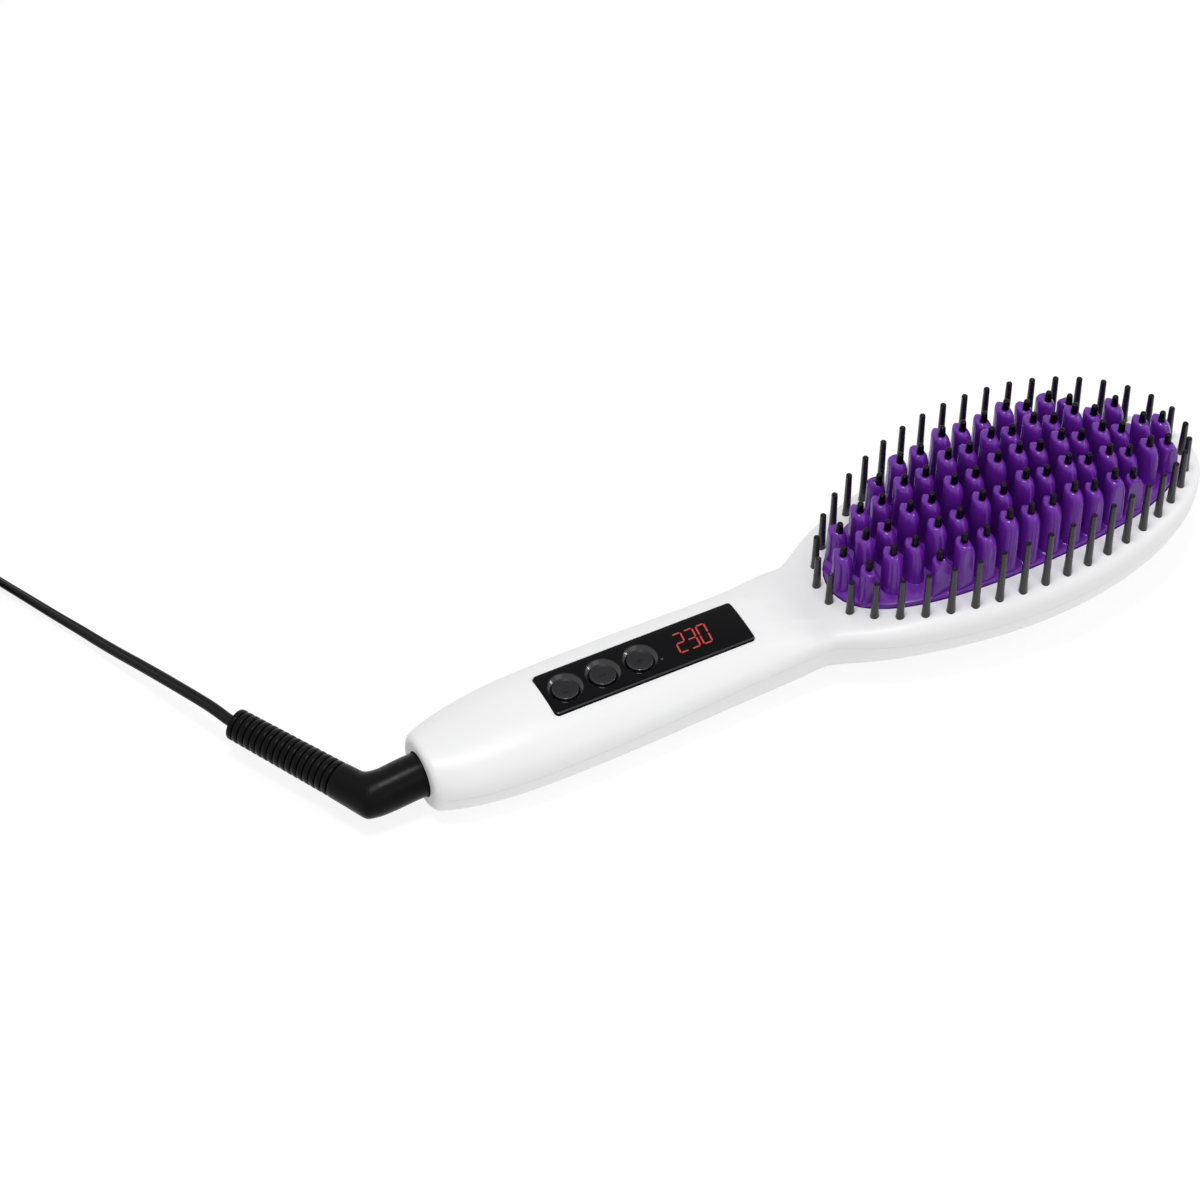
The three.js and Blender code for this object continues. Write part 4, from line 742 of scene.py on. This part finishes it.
# Control panel with its dished wells, buttons, digits and indicator
def panel():
    """A flat plate with a fine bevel, and round each button a raised lip and a dished well."""
    bm = bmesh.new()
    top = PANEL_TOP_Z
    low = top - PANEL_THICKNESS
    steps = [(low, 0.15), (low + 0.15, 0), (top - 0.3, 0), (top - 0.09, 0.09), (top, 0.3)]
    drawn(bm, [[Vector((PANEL_X + p.x, p.y, z)) for p in
                bar_outline(PANEL_LENGTH - 2 * inset, PANEL_WIDTH - 2 * inset, 1 - inset * 0.5)]
               for z, inset in steps])
    plate = piece("panel_plate", bm, PANEL_BLACK, replaces=["control_panel"])
    lips = bmesh.new()
    dishes = bmesh.new()
    for x in BUTTON_XS.values():
        turned(lips, [(0, top - 1), (5.3, top - 1), (5.3, top + 0.005), (5.2, top + 0.05), (5.05, top + 0.08),
                      (4.9, top + 0.09), (0, top + 0.09)], x, steps=64)
        turned(dishes, [(0, low - 1), (3.9, low - 1), (3.9, top - 0.86), (4.0, top - 0.8), (4.25, top - 0.6),
                        (4.55, top - 0.35), (4.8, top - 0.14), (4.95, top + 0.02), (DISH_RADIUS, top + 0.12),
                        (DISH_RADIUS, top + 1), (0, top + 1)], x, steps=64)
    cut(plate, piece("lips", lips, PANEL_BLACK, body=None), "UNION")
    cut(plate, piece("dishes", dishes, PANEL_BLACK, body=None))
    soften(plate, 28)
    middles = [Vector((x, 0)) for x in BUTTON_XS.values()]

    # Sloping faces by the rim and in the dishes take the glossier black: painted reflection
    def takes_painted_sheen(normal, centre):
        near_rim = abs(centre.y) > PANEL_WIDTH / 2 - 0.5
        in_dish = any((centre.xy - middle).length < DISH_RADIUS for middle in middles)
        return 0.15 < normal.z < 0.985 and centre.z > top - 0.9 and (near_rim or in_dish)

    tint(plate, PANEL_PAINTED_SHEEN, takes_painted_sheen)


def button_marks(bm, name, x, z):
    """A faint raised mark: a ring with a bar, a minus or a plus."""
    high = 0.12

    def bar(length, width, shift=0.0, turn=0.0):
        fresh = bmesh.ops.create_cube(bm, size=1)["verts"]
        bmesh.ops.scale(bm, vec=(length, width, high), verts=fresh)
        bmesh.ops.translate(bm, vec=(shift, 0, 0), verts=fresh)
        bmesh.ops.rotate(bm, matrix=Matrix.Rotation(turn, 3, "Z"), verts=fresh)
        bmesh.ops.translate(bm, vec=(x, 0, z), verts=fresh)

    if name == "power_button":
        bar(1.0, 0.24, 0.85, math.pi / 2)
        half_gap, steps = 0.6, 24
        profile = ((0.95, -high / 2), (1.19, -high / 2), (1.19, high / 2), (0.95, high / 2))
        rings = []
        for i in range(steps + 1):
            angle = math.pi / 2 + half_gap + i / steps * (math.tau - 2 * half_gap)
            rings.append([Vector((x + r * math.cos(angle), r * math.sin(angle), z + h)) for r, h in profile])
        drawn(bm, rings)
    else:
        bar(2.2, 0.26)
        if name == "hotter_button":
            bar(2.2, 0.26, 0, math.pi / 2)


def buttons():
    """Caps with a shallow dish, each with a flange under the panel and a stem that reaches its switch."""
    for name, x in BUTTON_XS.items():
        bm = bmesh.new()
        top = PANEL_TOP_Z - BUTTON_SINK
        flange = PANEL_TOP_Z - PANEL_THICKNESS - 0.3
        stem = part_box(name)[0].z / MM
        turned(bm, [(0, stem), (1.4, stem), (1.4, flange - 1), (4.1, flange - 1), (4.1, flange),
                    (3.7, flange), (3.7, top - 0.4), (3.67, top - 0.22), (3.56, top - 0.07), (3.42, top),
                    (3.26, top - 0.05), (3.0, top - 0.15), (2.3, top - 0.21), (1.2, top - 0.245),
                    (0, top - 0.25)], x, steps=64)
        button_marks(bm, name, x, top - 0.215)
        cap = piece(name + "_cap", bm, BUTTON_GREY, body=name, replaces=[name],
                    sharp=50)
        # The cap's sloping edge takes the glossier black: painted reflection
        tint(cap, PANEL_PAINTED_SHEEN, lambda normal, centre: 0.2 < normal.z < 0.9 and centre.z > PANEL_TOP_Z - 1)


# Segments of each digit that is shown, and the two ends of each segment in half widths and half heights
SEGMENTS = {"2": "abged", "3": "abgcd", "0": "abcdef"}
SEGMENT_ENDS = {
    "a": ((-1, 1), (1, 1)),
    "b": ((1, 1), (1, 0)),
    "c": ((1, 0), (1, -1)),
    "d": ((-1, -1), (1, -1)),
    "e": ((-1, 0), (-1, -1)),
    "f": ((-1, 1), (-1, 0)),
    "g": ((-1, 0), (1, 0)),
}


def display_digits():
    """Slanted seven-segment digits, laid into the face of the panel, and the dot of the indicator."""
    bm = bmesh.new()
    half_wide, half_high, thick, lean = 1.25, 3.35, 0.23, 0.11
    gap = 0.12
    middle_y = 0.2
    for digit, x in zip(DIGITS, DIGIT_XS):
        for key in SEGMENTS[digit]:
            a, b = (Vector((cx * half_wide, cy * half_high)) for cx, cy in SEGMENT_ENDS[key])
            along = (b - a).normalized()
            side = Vector((-along.y, along.x)) * thick
            a, b = a + along * gap, b - along * gap
            flat = [a, a + along * thick + side, b - along * thick + side, b, b - along * thick - side,
                    a + along * thick - side]
            drawn(bm, [[Vector((x + p.x + lean * p.y, middle_y + p.y, PANEL_TOP_Z + z)) for p in flat]
                       for z in (-0.15, 0.02)])
    piece("display_digits", bm, DIGIT_RED)
    dot = bmesh.new()
    top = PANEL_TOP_Z
    turned(dot, [(0, top - 0.3), (0.34, top - 0.3), (0.34, top), (0.26, top + 0.03), (0, top + 0.05)],
           *DOT_SPOT, steps=20)
    piece("indicator_dot", dot, DOT_GREY)


# Boot: a stem, an elbow with a firm outer corner, and a ribbed tail
BOOT_CORNER = Vector((END_X - STEM_LENGTH, 0, SEAM_END_Z))
BOOT_WAY = Vector((-math.cos(BOOT_TURN), math.sin(BOOT_TURN), 0))
BOOT_END = BOOT_CORNER + BOOT_WAY * BOOT_TAIL - Vector((0, 0, BOOT_SAG))
BOOT_SIDES = 40
BEND_STEPS = 26
# Place on a rib as a share of its pitch, and how far the surface lies under the rib's radius there
RIB_PROFILE = ((0.03, 0.1), (0.08, 0.6), (0.25, 0.62), (0.32, 0.14), (0.42, 0.02), (0.6, 0), (0.8, 0.03),
               (0.95, 0.08))


def boot_ring(centre, out, radius, push=0.0):
    """A ring about the boot's line, with its outer side pushed out where the elbow has its corner."""
    points = []
    for k in range(BOOT_SIDES):
        angle = k / BOOT_SIDES * math.tau
        c, s = math.cos(angle), math.sin(angle)
        reach = radius * c + push * max(c, 0) ** 1.5
        points.append(centre + out * reach + Vector((0, 0, radius * s)))
    return points


def boot():
    """The rings from the stem's root to the tail's mouth. The whole sags a little beyond the handle."""
    out = Vector((0, -1, 0))
    stem = ((1.0, 4.6), (1.0, STEM_RADIUS), (0, STEM_RADIUS), (-3, STEM_RADIUS), (-6, STEM_RADIUS),
            (-9.5, STEM_RADIUS - 0.05))
    rings = [boot_ring(Vector((END_X + x, 0, SEAM_END_Z)), out, radius) for x, radius in stem]
    tangent = BOOT_BEND * math.tan(BOOT_TURN / 2)
    pivot = BOOT_CORNER + Vector((tangent, BOOT_BEND, 0))
    for i in range(BEND_STEPS + 1):
        angle = i / BEND_STEPS * BOOT_TURN
        out = Vector((-math.sin(angle), -math.cos(angle), 0))
        near = BOOT_TURN / 2 - math.hypot(angle - BOOT_TURN / 2, 0.05)
        radius = STEM_RADIUS - 0.1 - 0.85 * ramp(0.2, 1, i / BEND_STEPS)
        mitre = (BOOT_BEND + radius) * (1 / math.cos(max(near, 0)) - 1)
        rings.append(boot_ring(pivot + out * BOOT_BEND, out, radius, mitre))
    tail = [(mix(tangent, BOOT_SMOOTH - 0.2, share), mix(5.2, 5.05, share)) for share in (0.35, 0.75, 1)]
    rib = (BOOT_TAIL - BOOT_SMOOTH) / RIB_COUNT
    for i in range(RIB_COUNT):
        radius = mix(BOOT_ROOT_RADIUS, BOOT_END_RADIUS - 0.05, i / (RIB_COUNT - 1))
        tail += [(BOOT_SMOOTH + (i + share) * rib, radius - drop) for share, drop in RIB_PROFILE]
    for past_end, radius in ((-0.25, 4.4), (-0.06, 4.1), (0, 3.7), (0, 1.95), (-0.8, 1.8)):
        tail.append((BOOT_TAIL + past_end, radius))
    out = Vector((-math.sin(BOOT_TURN), -math.cos(BOOT_TURN), 0))
    rings += [boot_ring(BOOT_CORNER + BOOT_WAY * along, out, radius) for along, radius in tail]
    bm = bmesh.new()
    drawn(bm, rings)
    for vert in bm.verts:
        vert.co.z -= BOOT_SAG * ramp(0, STEM_LENGTH, END_X - vert.co.x)
    piece("strain_relief", bm, BOOT_BLACK, body="cord_swivel", replaces=["cord_boot"],
          sharp=50)


# Cord: a free stretch down to the table, a coil of what is put away, and a tail to the plug
COIL_OUTER = COIL_MID_RADIUS + COIL_TURNS / COIL_LAYERS * COIL_SPACING / 2
COIL_ENTRY = Vector((-200.6, 141.9, 0))
COIL_CENTRE = COIL_ENTRY - COIL_OUTER * Vector((math.cos(COIL_ANGLE), math.sin(COIL_ANGLE), 0))
EXIT_ANGLE = COIL_ANGLE + COIL_TURNS * math.tau
PLUG_WAY = Vector((-math.sin(EXIT_ANGLE), math.cos(EXIT_ANGLE), 0))
PLUG_SIDE = Vector((0, 0, 1)).cross(PLUG_WAY)


def coil_point(turns):
    """Place after so many turns: in and out again, layer upon layer, with a short climb to each layer."""
    layer_turns = COIL_TURNS / COIL_LAYERS
    layer = turns / layer_turns
    wave = abs(layer - 2 * round(layer / 2))
    radius = COIL_OUTER - layer_turns * COIL_SPACING * wave
    climbs = [ramp(-0.25, 0.25, turns - i * layer_turns) for i in range(1, COIL_LAYERS)]
    z = COIL_FLOOR + COIL_SPACING * sum(climbs)
    angle = COIL_ANGLE + turns * math.tau
    return COIL_CENTRE + Vector((radius * math.cos(angle), radius * math.sin(angle), z))


# The coil's last point, and the end of the plug's neck, which the tail runs to
COIL_TOP = coil_point(COIL_TURNS)
COIL_TAIL = Vector((-259.46, 118.36, PLUG_Z))
# The free stretch between the boot and the coil
FREE_POINTS = (
    (-157.5, 42, 8.6), (-158.5, 44.7, 8.6), (-159.9, 48.5, 8.5), (-161.7, 52.6, 8.4), (-164.8, 60, 7.7),
    (-167.7, 67.4, 6.6), (-170.5, 74.7, 5.3), (-173.4, 82, 4), (-176.3, 89.4, 2.9), (-179.3, 96.8, 2.2),
    (-182.7, 104, 2), (-186.1, 111.2, 2), (-189.5, 118.4, 2), (-192.9, 125.6, 2), (-196.2, 132.4, 2.3),
)


def before_coil(distance, z):
    """A point on the straight line that runs into the coil's first turn."""
    x = COIL_ENTRY.x + distance * math.sin(COIL_ANGLE)
    y = COIL_ENTRY.y - distance * math.cos(COIL_ANGLE)
    return Vector((x, y, z))


def through(points, steps):
    """A smooth line through points, with so many steps between two of them."""
    line = []
    for i in range(len(points) - 1):
        a, b = points[i], points[i + 1]
        before = points[i - 1] if i else a * 2 - b
        after = points[i + 2] if i + 2 < len(points) else b * 2 - a
        for k in range(steps):
            t = k / steps
            line.append(0.5 * (2 * a + (b - before) * t + (2 * before - 5 * a + 4 * b - after) * t * t
                               + (3 * a - before - 3 * b + after) * t ** 3))
    return line + [points[-1]]


def cord_line():
    """Points from just inside the boot to just inside the plug."""
    free = [BOOT_END - BOOT_WAY * 0.7]
    free += [Vector(point) for point in FREE_POINTS]
    free += [before_coil(6, 2.7), before_coil(0.3, COIL_FLOOR)]
    line = through(free, 4)
    steps = round(COIL_TURNS * COIL_TURN_STEPS)
    line += [coil_point(i / steps * COIL_TURNS) for i in range(steps + 1)]
    aside = COIL_TAIL - COIL_TOP - PLUG_WAY * TAIL_LENGTH
    for i in range(1, TAIL_STEPS):
        share = i / TAIL_STEPS
        point = COIL_TOP + PLUG_WAY * (TAIL_LENGTH * share) + aside * ramp(0, 1, share)
        point.z = mix(COIL_TOP.z, PLUG_Z, ramp(0, 0.85, share))
        line.append(point)
    return line + [COIL_TAIL, COIL_TAIL + PLUG_WAY * 1.2]


def mains_cord():
    """A flat cord of two cores with a groove between them, which lies on the slant in the coil."""
    line = cord_line()
    rings = []
    sides = 20
    groove_depth = 0.36
    groove_narrowness = 3.2
    for i, point in enumerate(line):
        along = (line[min(i + 1, len(line) - 1)] - line[max(i - 1, 0)]).normalized()
        side = Vector((0, 0, 1)).cross(along).normalized()
        up = along.cross(side)
        # Level near the boot and at the plug
        tilt = math.pi / 4 * (ramp(20, 60, i) - ramp(len(line) - 14, len(line) - 4, i))
        side, up = side * math.cos(tilt) + up * math.sin(tilt), up * math.cos(tilt) - side * math.sin(tilt)
        ring = []
        for k in range(sides):
            angle = k / sides * math.tau
            c, s = math.cos(angle), math.sin(angle)
            groove = 1 - groove_depth * max(0, 1 - abs(c) * groove_narrowness)
            height = CORD_THICKNESS / 2 * math.copysign(abs(s) ** 0.8, s) * groove
            ring.append(point + side * (CORD_WIDTH / 2 * c) + up * height)
        rings.append(ring)
    bm = bmesh.new()
    drawn(bm, rings)
    cord = piece("mains_cord", bm, CORD_BLACK, body="cord_swivel",
                 replaces=["cord_free", "cord_coil"], sharp=60)
    return cord, [tuple(p * MM) for p in line]


def cord_tie():
    """A strap round the coil's bundle of turns, with a block on top that holds its ends."""
    bm = bmesh.new()
    half = COIL_TURNS / COIL_LAYERS * COIL_SPACING / 2 + CORD_WIDTH / 2 + 2 * TIE_PLAY + TIE_THICKNESS
    high = (2 * TIE_THICKNESS + 2 * TIE_PLAY + CORD_WIDTH + (COIL_LAYERS - 1) * COIL_SPACING) / 2
    outline = oval(half, high, 5, 72)
    angle = COIL_ANGLE + TIE_TURN
    way = Vector((math.cos(angle), math.sin(angle), 0))
    side = Vector((-way.y, way.x, 0))
    middle = COIL_CENTRE + way * COIL_MID_RADIUS + Vector((0, 0, high))
    edge, crown = TIE_HALF_WIDTH, TIE_HALF_WIDTH - 0.2
    profile = ((-edge, 0.91), (-edge, 0.985), (-crown, 1), (crown, 1), (edge, 0.985), (edge, 0.91),
               (-edge, 0.91))
    drawn(bm, [[middle + way * (p.x * grow) + Vector((0, 0, p.y * grow)) + side * shift for p in outline]
               for shift, grow in profile], caps=(False, False))
    lock = bmesh.ops.create_cube(bm, size=1)["verts"]
    bmesh.ops.scale(bm, vec=(5.4, 4.8, 1.2), verts=lock)
    bmesh.ops.rotate(bm, matrix=Matrix.Rotation(angle, 3, "Z"), verts=lock)
    bmesh.ops.translate(bm, vec=middle + Vector((0, 0, high - 0.55)), verts=lock)
    bmesh.ops.bevel(bm, geom=list({e for v in lock for e in v.link_edges}), offset=0.4, segments=3,
                    profile=0.5, affect="EDGES", material=-1)
    return piece("cord_strap", bm, TIE_BLACK, body="cord_swivel", replaces=["cord_tie"],
                 sharp=40)


def pin_rings(foot, profile, sides=24):
    """Rings about a plug pin's axis, at each distance and radius of the profile."""
    rings = []
    for distance, radius in profile:
        angles = [k / sides * math.tau for k in range(sides)]
        rings.append([foot + PLUG_WAY * distance + PLUG_SIDE * (radius * math.cos(angle))
                      + Vector((0, 0, radius * math.sin(angle))) for angle in angles])
    return rings


def plug():
    """A flat moulded plug with a ribbed neck, and two pins with insulated roots."""
    def ring(distance, width, height, power=3.2):
        return [COIL_TAIL + PLUG_WAY * distance + PLUG_SIDE * p.x + Vector((0, 0, p.y))
                for p in oval(width / 2, height / 2, power, 48)]

    rings = [ring(0.3, 3.8, 3.8, 2), ring(0.3, 5.2, 5.2, 2)]
    rib_count, rib_pitch = 4, 1.9
    for i in range(rib_count):
        start = 0.9 + i * rib_pitch
        size = mix(5.6, 8.2, i / (rib_count - 1))
        rings += [ring(start, size, size - 0.6, 2.2), ring(start + 1.1, size + 0.2, size - 0.4, 2.2),
                  ring(start + 1.25, size - 0.7, size - 1.2, 2.2),
                  ring(start + 1.7, size - 0.6, size - 1.1, 2.2)]
    # Distance from the neck's end, width and height
    outline = ((9.3, 9.4, 7.4), (11.5, 12.6, 8.6), (14.2, 17.6, 10.1), (16.6, 21.7, 11.8),
               (19.5, 26.4, 12.6), (22.5, 30.6, 13.2), (25.6, 33.2, 13.6), (28.5, 34.4, 13.7),
               (31.6, 34.8, 13.7), (32.6, 34.5, 13.4), (33.1, 33.9, 12.6), (33.3, 33, 11.7))
    rings += [ring(*size) for size in outline]
    bm = bmesh.new()
    drawn(bm, rings)
    body = piece("plug_moulding", bm, PLUG_BLACK, body="cord_swivel",
                 replaces=["plug_body"], sharp=38)
    made = [body]
    # Distance from the plug's face, and radius
    metal = ((10.1, 1.0), (10.1, 2), (17.2, 2), (18.3, 1.75), (18.9, 1.25), (19.2, 0.6))
    insulation = ((-0.4, 1.2), (-0.4, 1.9), (0.2, 1.9), (9.9, 1.88), (10.1, 1.75), (10.1, 0.9))
    for sign, node in ((-1, "plug_pin_1"), (1, "plug_pin_2")):
        foot = COIL_TAIL + PLUG_WAY * PLUG_FACE + PLUG_SIDE * (sign * PIN_OFFSET)
        pin = bmesh.new()
        drawn(pin, pin_rings(foot, metal))
        made.append(piece(node + "_metal", pin, PIN_METAL, body="cord_swivel",
                          replaces=[node], sharp=40))
        sleeve = bmesh.new()
        drawn(sleeve, pin_rings(foot, insulation))
        made.append(piece(node + "_sleeve", sleeve, PLUG_BLACK, body="cord_swivel",
                          replaces=[node], sharp=40))
    return made


# Floor and light
def stage():
    """A pale floor just under the brush. What is seen of it is mostly an even glow, so shadows stay light."""
    bm = bmesh.new()
    bmesh.ops.create_grid(bm, x_segments=1, y_segments=1, size=FLOOR_SIZE)
    bmesh.ops.translate(bm, vec=(0, 0, -FLOOR_DROP), verts=bm.verts)
    material = bpy.data.materials.new("pale_floor")
    material.use_nodes = True
    nodes, links = material.node_tree.nodes, material.node_tree.links
    nodes.clear()
    out = nodes.new("ShaderNodeOutputMaterial")
    matt = nodes.new("ShaderNodeBsdfDiffuse")
    matt.inputs["Color"].default_value = (FLOOR_TONE, FLOOR_TONE, FLOOR_TONE, 1)
    bright = nodes.new("ShaderNodeEmission")
    bright.inputs["Strength"].default_value = FLOOR_GLOW
    seen = nodes.new("ShaderNodeMixShader")
    links.new(share_of_seen(nodes, links, FLOOR_GLOW_SHARE), seen.inputs["Fac"])
    links.new(matt.outputs["BSDF"], seen.inputs[1])
    links.new(bright.outputs["Emission"], seen.inputs[2])
    links.new(seen.outputs["Shader"], out.inputs["Surface"])
    piece("floor", bm, material, body=None)


def share_of_seen(nodes, links, share):
    """That share for camera, glossy and transmission rays, and 0 for the others."""
    path = nodes.new("ShaderNodeLightPath")
    either = nodes.new("ShaderNodeMath")
    either.operation = "MAXIMUM"
    links.new(path.outputs["Is Camera Ray"], either.inputs[0])
    links.new(path.outputs["Is Glossy Ray"], either.inputs[1])
    any_seen = nodes.new("ShaderNodeMath")
    any_seen.operation = "MAXIMUM"
    links.new(either.outputs["Value"], any_seen.inputs[0])
    links.new(path.outputs["Is Transmission Ray"], any_seen.inputs[1])
    part = nodes.new("ShaderNodeMath")
    part.operation = "MULTIPLY"
    part.inputs[1].default_value = share
    links.new(any_seen.outputs["Value"], part.inputs[0])
    return part.outputs["Value"]


def lamp(name, place, size, watts):
    """A round lamp that shines towards the origin. Its place and size are in metres."""
    data = bpy.data.lights.new(name, "AREA")
    data.shape = "DISK"
    data.size = size
    data.energy = watts
    obj = bpy.data.objects.new(name, data)
    obj.location = place
    obj.rotation_euler = (-Vector(place)).to_track_quat("-Z", "Y").to_euler()
    scene.collection.objects.link(obj)


def light():
    """A room that lights softly from all sides and is seen as plain white, and three lamps."""
    world = bpy.data.worlds.new("studio")
    world.use_nodes = True
    nodes, links = world.node_tree.nodes, world.node_tree.links
    nodes.clear()
    out = nodes.new("ShaderNodeOutputWorld")
    room = nodes.new("ShaderNodeBackground")
    room.inputs["Color"].default_value = (1, 1, 1, 1)
    room.inputs["Strength"].default_value = ROOM_STRENGTH
    white = nodes.new("ShaderNodeBackground")
    white.inputs["Color"].default_value = (1, 1, 1, 1)
    white.inputs["Strength"].default_value = 1.0
    seen = nodes.new("ShaderNodeMixShader")
    links.new(share_of_seen(nodes, links, 1.0), seen.inputs["Fac"])
    links.new(room.outputs["Background"], seen.inputs[1])
    links.new(white.outputs["Background"], seen.inputs[2])
    links.new(seen.outputs["Shader"], out.inputs["Surface"])
    scene.world = world
    lamp("side", (1.25, -0.4, 0.74), 0.12, 2.2)
    lamp("overhead", (-0.13, -0.04, 1.6), 0.3, 10)
    lamp("fill", (0.3, -1.05, 0.9), 0.9, 1.8)


set_camera()
boot()
cord, cord_path = mains_cord()
tie = cord_tie()
plug_pieces = plug()
top_casing()
bottom_casing()
case_screws()
comb()
outer_bristles()
panel()
buttons()
display_digits()
for material, nodes in INNER_FINISHES:
    for node in nodes:
        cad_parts[node].material_slots[0].material = material
stage()
light()
scene.view_settings.view_transform = "Standard"
